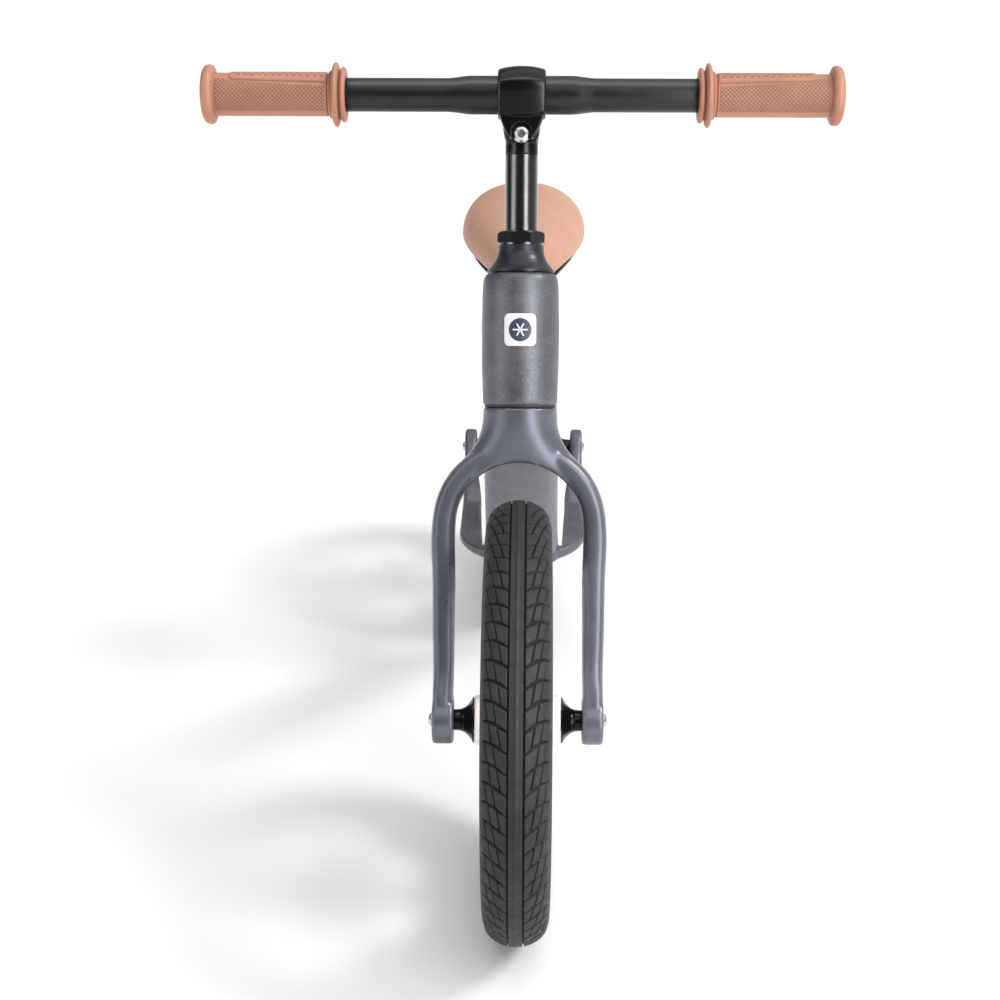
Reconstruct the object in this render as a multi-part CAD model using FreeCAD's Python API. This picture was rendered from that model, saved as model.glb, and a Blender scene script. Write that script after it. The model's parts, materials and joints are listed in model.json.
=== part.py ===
import FreeCAD, Part
import math
import os

from FreeCAD import Placement, Rotation, Vector

# A child's balance bike: one cast frame, a moulded fork, two spoked wheels, quill stem, bar, saddle.
# Millimetres. +Z is up, the bike rolls towards -Y, and the origin is on the ground midway between
# the wheels; left and right are the rider's, so left is +X. The steering axis leans back, so the
# fork, headset, stem and bar are drawn in a steering
# frame: Z runs up the steering axis from axle height, -Y points forward, and the shape is then placed.

# Wheels and layout
WHEEL_RADIUS = 150.0
TYRE_HALF_WIDTH = 22.5
WHEELBASE = 560.0
AXLE_HEIGHT = WHEEL_RADIUS
STEERING_LEAN_DEG = 17.5
STEERING_FOOT_Y = -255.0  # where the steering axis crosses axle height
FRONT_AXLE_Y = -WHEELBASE / 2
REAR_AXLE_Y = WHEELBASE / 2

# Wheel
TYRE_WALL = 4.0
BEAD_SEAT_RADIUS = 101.7
RIM_FLANGE_RADIUS = 109.0
RIM_HALF_WIDTH = 17.0
RIM_INNER_RADIUS = 91.0
CHANNEL_HALF_WIDTH = 14.3
HUB_RADIUS = 17.0
HUB_HALF_LENGTH = 29.0
SPOKE_COUNT = 6
BEARING_RADIUS = 13.0
BEARING_WIDTH = 8.0
BEARING_OUTER_X = 28.0
AXLE_RADIUS = 5.0
BOLT_RADIUS = 2.5
BOLT_HEAD_RADIUS = 4.7
BOLT_HEAD_HEIGHT = 2.8
VALVE_ANGLE_DEG = 30.0
VALVE_RADIUS = 3.9

# Fits: a running fit has this radial clearance, and pressed pieces of one body nearly touch
RUNNING = 0.05
SEATED = 0.02
FACE_GAP = 0.1

# Fork, in the steering frame
ARCH_CENTRE = 123.5
ARCH_INNER_RADIUS = 43.7
ARCH_OUTER_RADIUS = 59.8
NECK_RADIUS = 25.3
NECK_TOP = 204.5
NECK_FLARE = 200.0
LEG_INNER_X = 43.5
LEG_OUTER_X = 58.0
LEG_STRAIGHT_TOP = 20.0
FORK_EYE_RADIUS = 16.3
ARCH_DEPTH_LOW = 12.2
ARCH_DEPTH_TOP = 15.5
BLADE_SQUARENESS = 3.2
ARCH_STEPS = 8
# Blade sections: height, half depth and how much thinner the blade is than the fork's outline
BLADE_SECTIONS = ((-6.0, 13.6, 0.3), (22.0, 12.4, 0.3), (55.0, 11.6, 0.1), (92.0, 11.8, 0.0))
# Crown sections: height, half depth and squareness
CROWN_SECTIONS = (
    (204.5, 25.3, 2.0),
    (200.0, 25.3, 2.0),
    (192.0, 24.6, 2.0),
    (183.0, 22.8, 2.05),
    (174.0, 20.2, 2.15),
    (165.0, 17.4, 2.3),
    (156.0, 15.2, 2.5),
    (147.0, 13.6, 2.7),
)

# Headset and steerer, in the steering frame
HEAD_BOTTOM = 206.0
HEAD_TOP = 296.0
STEERER_RADIUS = 12.7
STEERER_BORE = 11.1 + RUNNING
STEERER_BOTTOM = 172.0
STEERER_TOP = 324.5
HEADSET_RADIUS = 19.0
CONE_BOTTOM = 296.6
CONE_TOP = 315.0
WASHER_TOP = 316.2
NUT_TOP = 324.0
NUT_ACROSS_FLATS = 32.0

# Stem and bar, in the steering frame
QUILL_RADIUS = 11.1
QUILL_BORE = 9.0
QUILL_BOTTOM = 250.0
COLLAR_BOTTOM = 375.4
STEM_TOP = 400.0
BAR_FORWARD = 18.0
BAR_HEIGHT = 413.3
BAR_RADIUS = 11.1
BAR_CENTRE_RADIUS = 12.7
BAR_CENTRE_HALF = 34.0
BAR_TAPER_END = 47.5
BAR_BORE = 9.3
BAR_HALF_LENGTH = 210.5
CLAMP_RADIUS = 17.5
CLAMP_HALF_WIDTH = 16.0
CLAMP_BOLT_HEIGHT = 386.7
GRIP_OUTER_END = 214.5
GRIP_INNER_END = 117.4

# Frame
DECK_BOTTOM = 109.0
DECK_TOP = 119.5
DECK_FRONT_Y = 80.0
DECK_HALF_WIDTH = 57.0
DECK_OPENING_HALF = 35.5
BEAM_WALL = 4.0
FORK_CLEARANCE = 2.0
DROPOUT_INNER_X = 45.5
DROPOUT_OUTER_X = 57.0
SEAT_TUBE_LEAN_DEG = 5.0
SEAT_TUBE_FOOT = Vector(0, 95, 118)
SEAT_TUBE_LENGTH = 216.0
SEAT_TUBE_RADIUS = 17.0
POST_RADIUS = 12.7
POST_LENGTH = 132.0
POST_TOP = 260.0  # along the seat tube from its foot
BADGE_SIZE = 22.0

# Saddle
SADDLE_BOTTOM = 386.0

X, Y, Z = Vector(1, 0, 0), Vector(0, 1, 0), Vector(0, 0, 1)
ORIGIN = Vector(0, 0, 0)


def steering(shape):
    """A shape drawn in the steering frame, put where it is on the bike."""
    placed = shape.copy()
    placed.Placement = Placement(
        Vector(0, STEERING_FOOT_Y, AXLE_HEIGHT), Rotation(X, -STEERING_LEAN_DEG)
    ).multiply(placed.Placement)
    return placed


def along_seat_tube(shape):
    """A shape drawn with the seat tube's foot as origin and the tube as Z, put on the bike."""
    placed = shape.copy()
 
    placed.Placement = Placement(SEAT_TUBE_FOOT, Rotation(X, -SEAT_TUBE_LEAN_DEG)).multiply(placed.Placement)
    return placed


def polygon(points):
    return Part.Face(Part.makePolygon(points + [points[0]]))


def turned(profile):
    """A solid of revolution about Z from (radius, height) points."""
    return polygon([Vector(r, 0, h) for r, h in profile]).revolve(ORIGIN, Z, 360)


def turned_on_x(profile):
    """A solid of revolution about X from (x, radius) points."""
    return polygon([Vector(x, 0, r) for x, r in profile]).revolve(ORIGIN, X, 360)


def cylinder(radius, low, high):
    return Part.makeCylinder(radius, high - low, Vector(0, 0, low), Z)


def rod_on_x(radius, low, high):
    return Part.makeCylinder(radius, high - low, Vector(low, 0, 0), X)


def mirrored(shape):
    return shape.mirror(ORIGIN, X)


def oval(centre, wide, tall, half_wide, half_tall, squareness=2.0, points=24):
    """A closed smooth wire round centre: an ellipse at squareness 2, boxier above it."""
    ring = []
    for i in range(points):
        a = 2 * math.pi * i / points
        u = math.copysign(abs(math.cos(a)) ** (2 / squareness), math.cos(a)) * half_wide
        v = math.copysign(abs(math.sin(a)) ** (2 / squareness), math.sin(a)) * half_tall
        ring.append(centre + wide * u + tall * v)
    curve = Part.BSplineCurve()
    curve.interpolate(Points=ring, PeriodicFlag=True)
    return Part.Wire(curve.toShape())


def loft(wires):
    return Part.makeLoft(wires, True, False)


def box(x0, x1, y0, y1, z0, z1):
    return Part.makeBox(x1 - x0, y1 - y0, z1 - z0, Vector(x0, y0, z0))


def fuse(shapes):
    return shapes[0].multiFuse(shapes[1:]).removeSplitter()


# ---- wheels ----------------------------------------------------------------------------------


def tyre():
    """A hollow tyre, open at its beads."""
    w, r = TYRE_HALF_WIDTH, WHEEL_RADIUS
    bead = CHANNEL_HALF_WIDTH - 0.2

    def arc(a, b, c):
        return Part.Arc(Vector(a[0], 0, a[1]), Vector(b[0], 0, b[1]), Vector(c[0], 0, c[1])).toShape()

    def line(a, b):
        return Part.LineSegment(Vector(a[0], 0, a[1]), Vector(b[0], 0, b[1])).toShape()

    t = TYRE_WALL
    shoulder, side, lip = (14.0, r - 4.2), (w, r - 22.0), (bead, RIM_FLANGE_RADIUS + 0.8)
    foot, heel = (bead, BEAD_SEAT_RADIUS + 0.2), (bead - t, BEAD_SEAT_RADIUS + 0.2)
    inner_side, inner_shoulder = (w - t, r - 22.0), (12.0, r - 4.2 - t)

    def flip(p):
        return (-p[0], p[1])

    edges = [
        arc(flip(shoulder), (0, r), shoulder),
        arc(shoulder, (w - 1.7, r - 12.0), side),
        arc(side, (w - 2.0, r - 34.0), lip),
        line(lip, foot),
        line(foot, heel),
        arc(heel, (w - t - 2.2, r - 34.0), inner_side),
        arc(inner_side, (w - t - 1.9, r - 13.5), inner_shoulder),
        arc(inner_shoulder, (0, r - t), flip(inner_shoulder)),
        arc(flip(inner_shoulder), (-(w - t - 1.9), r - 13.5), flip(inner_side)),
        arc(flip(inner_side), (-(w - t - 2.2), r - 34.0), flip(heel)),
        line(flip(heel), flip(foot)),
        line(flip(foot), flip(lip)),
        arc(flip(lip), (-(w - 2.0), r - 34.0), flip(side)),
        arc(flip(side), (-(w - 1.7), r - 12.0), flip(shoulder)),
    ]
    return Part.Face(Part.Wire(edges)).revolve(ORIGIN, X, 360)


def inner_tube():
    """An air tube: a thin hollow ring inside the tyre."""
    centre, radius, wall = Vector(0, 0, 126.5), 15.0, 1.4
    skin = Part.Wire(Part.Circle(centre, Y, radius).toShape())
    air = Part.Wire(Part.Circle(centre, Y, radius - wall).toShape())
    solid = Part.Face(skin).revolve(ORIGIN, X, 360)
    return solid.cut(Part.Face(air).revolve(ORIGIN, X, 360))


def wheel():
    """One moulding: rim channel, tapered spokes and hub barrel with bearing seats."""
    c, w = CHANNEL_HALF_WIDTH, RIM_HALF_WIDTH
    half = [
        (w, RIM_FLANGE_RADIUS - 1),
        (w - 1, RIM_FLANGE_RADIUS),
        (c, RIM_FLANGE_RADIUS),
        (c, BEAD_SEAT_RADIUS),
        (8, BEAD_SEAT_RADIUS),
        (7, 97),
    ]
    rim = half + [(-x, r) for x, r in reversed(half)]
    rim += [(-w, 99), (-11, RIM_INNER_RADIUS), (11, RIM_INNER_RADIUS), (w, 99)]
    parts = [turned_on_x(rim), rod_on_x(HUB_RADIUS, -HUB_HALF_LENGTH, HUB_HALF_LENGTH)]
    spoke = loft(
        [
            oval(Vector(0, 0, 11), X, Y, 19, 8, 3),
            oval(Vector(0, 0, 40), X, Y, 12, 5.5, 3),
            oval(Vector(0, 0, 92.5), X, Y, 9, 8, 3),
        ]
    )
    for i in range(SPOKE_COUNT):
        arm = spoke.copy()
        arm.rotate(ORIGIN, X, 360 / SPOKE_COUNT * i)
        parts.append(arm)
    solid = fuse(parts)
    cuts = [rod_on_x(7.5, -40, 40)]
    for side in (-1, 1):
        low, high = sorted((side * (BEARING_OUTER_X - BEARING_WIDTH), side * 40))
        cuts.append(rod_on_x(BEARING_RADIUS, low, high))
    valve_hole = cylinder(VALVE_RADIUS + 0.3, 60, 120)
    valve_hole.rotate(ORIGIN, X, VALVE_ANGLE_DEG)
    return solid.cut(Part.makeCompound(cuts + [valve_hole]))


def bearing(side):
    """A sealed ball bearing: rings with a recessed shield between them on both faces."""
    low, high = BEARING_OUTER_X - BEARING_WIDTH, BEARING_OUTER_X
    bore, rim = AXLE_RADIUS + RUNNING, BEARING_RADIUS - SEATED
    profile = [
        (low, bore),
        (low, 7),
        (low + 0.5, 7),
        (low + 0.5, 11),
        (low, 11),
        (low, rim),
        (high, rim),
        (high, 11),
        (high - 0.5, 11),
        (high - 0.5, 7),
        (high, 7),
        (high, bore),
    ]
    ring = turned_on_x(profile)
    return ring if side > 0 else mirrored(ring)


def hub_sleeve():
    """The tube that keeps the two inner bearing rings apart."""
    end = BEARING_OUTER_X - BEARING_WIDTH - FACE_GAP
    return turned_on_x([(-end, AXLE_RADIUS + SEATED), (-end, 6.8), (end, 6.8), (end, AXLE_RADIUS + SEATED)])


def axle(inner_x):
    """A round axle between the two legs, tapped at both ends."""
    end = inner_x - FACE_GAP
    rod = rod_on_x(AXLE_RADIUS, -end, end)
    taps = [rod_on_x(BOLT_RADIUS + SEATED, side * end - 15, side * end + 15) for side in (-1, 1)]
    return rod.cut(Part.makeCompound(taps))


def bell_spacer(side, inner_x):
    """A flared spacer: narrow at the leg, wide over the hub's end, with a boss on the bearing."""
    leg, rim = inner_x - FACE_GAP, HUB_HALF_LENGTH + 0.4
    bore = AXLE_RADIUS + SEATED
    shares = (0, 0.08, 0.18, 0.3, 0.45, 0.65, 1)
    flare = [(rim + 1 + (leg - rim - 1) * t, 7.0 + 8.5 * (1 - t) ** 3) for t in shares]
    boss = BEARING_OUTER_X + FACE_GAP
    profile = [(boss, bore), (boss, 6.8), (rim, 6.8), (rim, 15.5)] + flare + [(leg, bore)]
    bell = turned_on_x(profile)
    return bell if side > 0 else mirrored(bell)


def button_screw(tip, seat, radius, head_radius, head_height):
    """A button-head screw along +X, with a hexagon socket in its domed head."""
    top = seat + head_height
    screw = turned_on_x(
        [
            (tip, 0),
            (tip, radius),
            (seat + SEATED, radius),
            (seat + SEATED, head_radius),
            (seat + head_height * 0.3, head_radius),
            (seat + head_height * 0.75, head_radius * 0.78),
            (top, head_radius * 0.48),
            (top, 0),
        ]
    )
    corner = head_radius * 0.37
    angles = [i * math.pi / 3 for i in range(6)]
    socket_floor = top - 0.6 * head_height
    hexagon = polygon([Vector(socket_floor, corner * math.cos(a), corner * math.sin(a)) for a in angles])
    return screw.cut(hexagon.extrude(Vector(head_height, 0, 0)))


def axle_bolts(outer_x):
    """The pair of screws that hold one axle between its legs."""
    screw = button_screw(outer_x - 26, outer_x, BOLT_RADIUS, BOLT_HEAD_RADIUS, BOLT_HEAD_HEIGHT)
    return Part.makeCompound([screw, mirrored(screw)])


def valve_stem():
    """The air valve, through the rim between two spokes and pointing at the hub."""
    half = [(0, 72), (2.7, 72), (2.7, 80), (VALVE_RADIUS, 81), (VALVE_RADIUS, 98.5)]
    stem = turned(half + [(6.5, 98.5), (6.5, 100), (0, 100)])
    stem.rotate(ORIGIN, X, VALVE_ANGLE_DEG)
    return stem


def valve_cap():
    cap = turned([(0, 69), (3.6, 69), (4.4, 70), (4.4, 80), (2.75, 80), (2.75, 71.5), (0, 71.5)])
    cap.rotate(ORIGIN, X, VALVE_ANGLE_DEG)
    return cap


def wheel_set(prefix, y, inner_x, outer_x):
    """Every piece of one wheel and its axle, at the axle's place."""
    pieces = {
        "tyre": tyre(),
        "inner_tube": inner_tube(),
        "wheel": wheel(),
        "bearing_left": bearing(1),
        "bearing_right": bearing(-1),
        "valve_stem": valve_stem(),
        "valve_cap": valve_cap(),
        "hub_sleeve": hub_sleeve(),
        "axle": axle(inner_x),
        "spacer_left": bell_spacer(1, inner_x),
        "spacer_right": bell_spacer(-1, inner_x),
        "axle_bolts": axle_bolts(outer_x),
    }
    for name, shape in pieces.items():
        shape.translate(Vector(0, y, AXLE_HEIGHT))
        save(shape, prefix + "_" + name)


# ---- fork and headset, in the steering frame ---------------------------------------------------


def leg_centre(height):
    """How far forward of the steering axis the fork's blades run at a height."""
    axle_forward = (STEERING_FOOT_Y - FRONT_AXLE_Y) * math.cos(math.radians(STEERING_LEAN_DEG))
    rise = max(0.0, min(1.0, (180.0 - height) / 190.0))
    return axle_forward * rise ** 1.3


def fork_half_width(height):
    """Half the fork's width: a straight neck that flares out, then an arch, then straight legs."""
    c, r, n = ARCH_CENTRE, ARCH_OUTER_RADIUS, NECK_RADIUS
    flare = ((NECK_FLARE - c) ** 2 / (r - n) - (r + n)) / 2
    meet = c + r * (NECK_FLARE - c) / (r + flare)
    if height >= NECK_FLARE:
        return n
    if height > meet:
        return n + flare - math.sqrt(flare ** 2 - (NECK_FLARE - height) ** 2)
    if height > c:
        return math.sqrt(r ** 2 - (height - c) ** 2)
    return r + (LEG_OUTER_X - r) * min(1.0, (c - height) / (c - LEG_STRAIGHT_TOP))


def fork_crown():
    """The solid part between the round neck and the arch, one smooth loft."""
    wires = []
    for height, depth, squareness in CROWN_SECTIONS:
        centre = Vector(0, -leg_centre(height), height)
        wires.append(oval(centre, X, Y, fork_half_width(height), depth, squareness, 32))
    return loft(wires)


def blade_section(side, height, depth, inset):
    """A section across one blade, a little thinner than the fork's outline by the inset."""
    inner, outer = LEG_INNER_X + inset, fork_half_width(height) - inset
    centre = Vector(side * (outer + inner) / 2, -leg_centre(height), height)
    return oval(centre, X * side, Y, (outer - inner) / 2, depth, BLADE_SQUARENESS)


def fork_arch():
    """Both blades and the arch that joins them, one loft from axle to axle."""
    left = [blade_section(-1, *section) for section in BLADE_SECTIONS]
    right = [blade_section(1, *section) for section in reversed(BLADE_SECTIONS)]
    middle = (ARCH_INNER_RADIUS + ARCH_OUTER_RADIUS) / 2
    half = (ARCH_OUTER_RADIUS - ARCH_INNER_RADIUS) / 2
    over = []
    for i in range(ARCH_STEPS + 1):
        a = math.pi * (1 - i / ARCH_STEPS)
        out = Vector(math.cos(a), 0, math.sin(a))
        spot = Vector(0, 0, ARCH_CENTRE) + out * middle
        spot.y = -leg_centre(spot.z)
        depth = ARCH_DEPTH_LOW + (ARCH_DEPTH_TOP - ARCH_DEPTH_LOW) * math.sin(a)
        over.append(oval(spot, out, Y, half, depth, BLADE_SQUARENESS))
    return loft(left + over + right)


def fork_eye():
    """The round end of a blade, where the axle's screw goes through."""
    eye = rod_on_x(FORK_EYE_RADIUS, LEG_INNER_X, LEG_OUTER_X)
    eye = eye.makeFillet(2.0, [e for e in eye.Edges if e.Closed and e.BoundBox.XLength < 0.1])
    return on_front_axle(eye)


def on_front_axle(shape):
    """Moves a piece drawn round the X axis to the front axle's line, in the steering frame."""
    shape.translate(Vector(0, FRONT_AXLE_Y - STEERING_FOOT_Y, 0))
    return shape.rotate(ORIGIN, X, STEERING_LEAN_DEG)


def fork():
    """One casting: round neck, arch over the tyre and two blades with axle eyes."""
    eye = fork_eye()
    body = fork_arch()
    for more in (fork_crown(), eye, mirrored(eye)):
        body = body.fuse(more)
    reach = 80.0
    screw_hole = on_front_axle(rod_on_x(BOLT_RADIUS + SEATED, -reach, reach))
    steerer_seat = cylinder(STEERER_RADIUS + SEATED, STEERER_BOTTOM, NECK_TOP + 10)
    arch_clear = Part.makeCylinder(ARCH_INNER_RADIUS, 2 * reach, Vector(0, -reach, ARCH_CENTRE), Y)
    for tool in (screw_hole, steerer_seat, arch_clear):
        body = body.cut(tool)
    return body


def headset_bearing(low):
    """A cartridge bearing seated in the head tube, with recessed faces."""
    bore, rim, high = STEERER_RADIUS + 0.06, HEADSET_RADIUS - SEATED, low + 7.0
    half = [(bore, low), (14.4, low), (14.4, low + 0.4), (17.4, low + 0.4), (17.4, low), (rim, low)]
    return turned(half + [(r, low + high - z) for r, z in reversed(half)])


def crown_race():
    """The ring the lower bearing runs on, round the foot of the steerer."""
    bore, low = STEERER_RADIUS + SEATED, NECK_TOP + SEATED
    return turned([(bore, low), (16, low), (16, 207), (14.5, 208), (bore, 208)])


def steerer():
    """The steel tube pressed into the fork's neck, closed at its foot."""
    low, radius, bore = STEERER_BOTTOM, STEERER_RADIUS, STEERER_BORE
    outside = [(0, low + FACE_GAP), (radius, low + FACE_GAP), (radius, STEERER_TOP)]
    return turned([(bore, low + 3), (0, low + 3)] + outside + [(bore, STEERER_TOP)])


def cone_cover():
    """The flared cover screwed down on the upper bearing, with a skirt inside the head tube."""
    bore, top_radius, base_radius = STEERER_RADIUS + SEATED, 15.5, 22.8
    rise = CONE_TOP - 1.5 - (CONE_BOTTOM + 1.4)
    flare = [
        (top_radius + (base_radius - top_radius) * (1 - t) ** 2.2, CONE_BOTTOM + 1.4 + rise * t)
        for t in (0, 0.1, 0.2, 0.32, 0.46, 0.62, 0.8, 1)
    ]
    profile = [(bore, 294.8), (17.5, 294.8), (17.5, CONE_BOTTOM), (base_radius, CONE_BOTTOM)] + flare
    return turned(profile + [(top_radius, CONE_TOP), (bore, CONE_TOP)])


def lock_washer():
    low = CONE_TOP + SEATED
    bore = STEERER_RADIUS + SEATED
    return turned([(bore, low), (15.2, low), (15.2, WASHER_TOP), (bore, WASHER_TOP)])


def locknut():
    """An eight-sided nut with turned corners."""
    low = WASHER_TOP + SEATED
    corner = NUT_ACROSS_FLATS / 2 / math.cos(math.pi / 8)
    angles = [(i + 0.5) * math.pi / 4 for i in range(8)]
    ring = [Vector(corner * math.cos(a), corner * math.sin(a), low) for a in angles]
    block = polygon(ring).extrude(Vector(0, 0, NUT_TOP - low))
    turning = turned([(STEERER_RADIUS + SEATED, low), (corner - 0.8, low),
                      (corner + 0.1, low + 0.9), (corner + 0.1, NUT_TOP - 1.6),
                      (corner - 1.6, NUT_TOP), (STEERER_RADIUS + SEATED, NUT_TOP)])
    return block.common(turning)


# ---- stem and bar, in the steering frame -------------------------------------------------------


def on_bar(shape):
    """Moves a piece drawn round the X axis to the handlebar's line."""
    shape.translate(Vector(0, -BAR_FORWARD, BAR_HEIGHT))
    return shape


def stem_quill():
    """The tube that slides in the steerer, cut slantwise for the wedge at its foot."""
    half = [(QUILL_BORE, QUILL_BOTTOM), (QUILL_RADIUS, QUILL_BOTTOM)]
    tube = turned(half + [(QUILL_RADIUS, COLLAR_BOTTOM), (QUILL_BORE, COLLAR_BOTTOM)])
    return tube.cut(wedge_side(QUILL_BOTTOM + 8))


def wedge_side(height):
    """A block whose top slants at the wedge angle through the axis at a height."""
    block = box(-30, 30, -30, 30, -60, 0)
    block.rotate(ORIGIN, X, 30)
    block.translate(Vector(0, 0, height))
    return block


def expander_wedge():
    body = cylinder(QUILL_RADIUS - 0.3, QUILL_BOTTOM - 16, QUILL_BOTTOM + 20)
    return body.common(wedge_side(QUILL_BOTTOM + 7.8)).cut(cylinder(4.0 + SEATED, 200, 300))


def expander_bolt():
    """The long socket screw that draws the wedge up into the quill."""
    low, seat = QUILL_BOTTOM - 18, STEM_TOP - 9
    shank = fuse([cylinder(4.0, low, seat + 1), cylinder(6.3, seat + SEATED, STEM_TOP - 1.0)])
    angles = [i * math.pi / 3 for i in range(6)]
    corners = [Vector(3.4 * math.cos(a), 3.4 * math.sin(a), STEM_TOP - 6) for a in angles]
    return shank.cut(polygon(corners).extrude(Vector(0, 0, 10)))


def stem_head():
    """The forged clamp: a ring round the bar, a neck on the quill and a lip drawn up by one screw."""
    ring = on_bar(rod_on_x(CLAMP_RADIUS, -CLAMP_HALF_WIDTH, CLAMP_HALF_WIDTH))
    ring = ring.makeFillet(1.6, ring.Edges)
    collar = cylinder(QUILL_RADIUS, COLLAR_BOTTOM + SEATED, STEM_TOP)
    neck = loft(
        [
            oval(Vector(0, -1, 379), X, Y, 10.5, 10.5),
            oval(Vector(0, -5, 392), X, Y, 13.0, 14.0, 2.6),
            oval(Vector(0, -12, 404), X, Y, 15.0, 16.0, 3.5),
        ]
    )
    lip_points = [(-15.6, 408), (15.6, 408), (14.6, 399), (11.5, 390), (7.0, 384), (0, 382)]
    lip_points += [(-7.0, 384), (-11.5, 390), (-14.6, 399)]
    lip = polygon([Vector(x, -27.5, h) for x, h in lip_points]).extrude(Vector(0, 12, 0))
    body = fuse([ring, collar, neck, lip])
    slit = box(-20, 20, -19.5, -18.0, 370, BAR_HEIGHT)
    bolt_line = Placement(Vector(0, 0, CLAMP_BOLT_HEIGHT), Rotation(Z, -90))
    screw_hole = rod_on_x(3.0 + SEATED, 6.5, 40)
    head_seat = rod_on_x(6.2, 24.0, 40)
    for tool in (screw_hole, head_seat):
        tool.Placement = bolt_line
    cuts = [
        on_bar(rod_on_x(BAR_CENTRE_RADIUS + RUNNING, -30, 30)),
        slit,
        screw_hole,
        head_seat,
        cylinder(4.3, 360, 410),
        cylinder(6.6, STEM_TOP - 9, 408),
    ]
    for tool in cuts:
        body = body.cut(tool)
    return body


def bar_clamp_bolt():
    screw = button_screw(7.0, 24.0, 3.0, 5.75, 3.4)
    screw.Placement = Placement(Vector(0, 0, CLAMP_BOLT_HEIGHT), Rotation(Z, -90))
    return screw


def handlebar():
    """A straight tube, swollen in the middle for the clamp."""
    half = [(BAR_CENTRE_HALF, BAR_CENTRE_RADIUS), (BAR_TAPER_END, BAR_RADIUS)]
    half += [(BAR_HALF_LENGTH, BAR_RADIUS), (BAR_HALF_LENGTH, BAR_BORE)]
    profile = half + [(-x, r) for x, r in reversed(half)]
    return on_bar(turned_on_x(profile))


def grip(side):
    """A closed rubber sleeve with a collar at its outer end and two at its inner end."""
    a, b, bore = GRIP_INNER_END, GRIP_OUTER_END, BAR_RADIUS + SEATED
    body, collar, big, small = 14.6, 19.7, 21.2, 18.2
    profile = [
        (a, bore), (a, small), (a + 3.4, small), (a + 4.0, 16.0), (a + 4.6, big), (a + 8.4, big),
        (a + 9.6, 16.0), (a + 11, body),
        (b - 10.5, body), (b - 9.5, collar - 0.8), (b - 8.6, collar), (b - 1.6, collar), (b, collar - 2.5),
        (b, 0), (BAR_HALF_LENGTH + FACE_GAP, 0), (BAR_HALF_LENGTH + FACE_GAP, bore),
    ]
    sleeve = turned_on_x(profile)
    return on_bar(sleeve if side > 0 else mirrored(sleeve))


# ---- frame -------------------------------------------------------------------------------------


def head_tube():
    """A barrel-shaped tube, drawn in the steering frame."""
    low, high = HEAD_BOTTOM, HEAD_TOP
    barrel = [(0.0, 25.0), (0.02, 25.6), (0.3, 26.4), (0.6, 26.6), (0.85, 26.2), (0.95, 25.6),
              (0.985, 24.4), (1.0, 22.9)]
    profile = [(0, low)] + [(r, low + (high - low) * t) for t, r in barrel] + [(0, high)]
    return steering(turned(profile))


def head_bores():
    cuts = [
        cylinder(16.5, HEAD_BOTTOM - 5, HEAD_TOP + 5),
        cylinder(HEADSET_RADIUS, HEAD_BOTTOM - 5, 215.6),
        cylinder(HEADSET_RADIUS, 287.0, HEAD_TOP + 5),
    ]
    return steering(fuse(cuts))


# Beam stations: distance back, height, half width and half depth of the section
BEAM_STATIONS = (
    (-176, 376, 20.0, 27.0),
    (-150, 352, 23.5, 25.5),
    (-110, 310, 27.0, 25.5),
    (-60, 256, 28.8, 23.5),
    (-10, 206, 29.6, 21.0),
    (40, 161, 30.6, 19.5),
    (84, 131, 32.0, 17.5),
)


def down_tube(inset=0.0, stations=BEAM_STATIONS):
    """A wide oval beam from the head tube down to the footrest; inset draws its hollow inside."""
    wires = []
    for i, (y, z, wide, deep) in enumerate(stations):
        before, after = stations[max(i - 1, 0)], stations[min(i + 1, len(stations) - 1)]
        run = Vector(0, after[0] - before[0], after[1] - before[1]).normalize()
        wires.append(oval(Vector(0, y, z), X, run.cross(X), wide - inset, deep - inset, 2.5))
    return loft(wires)


def seat_tube():
    """A round tube on a flared foot."""
    tube = along_seat_tube(cylinder(SEAT_TUBE_RADIUS, 0, SEAT_TUBE_LENGTH))
    foot = loft(
        [
            oval(Vector(0, 95, DECK_BOTTOM + 1), X, Y, 32.5, 20.5, 2.4),
            oval(Vector(0, 95, DECK_TOP + 2), X, Y, 32, 20, 2.4),
            oval(Vector(0, 96, 145), X, Y, 27, 22, 2.2),
            oval(Vector(0, 98, 180), X, Y, 19, 19.5),
            oval(Vector(0, 100.5, 205), X, Y, 16.8, 16.8),
        ]
    )
    return [tube, foot]


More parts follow.
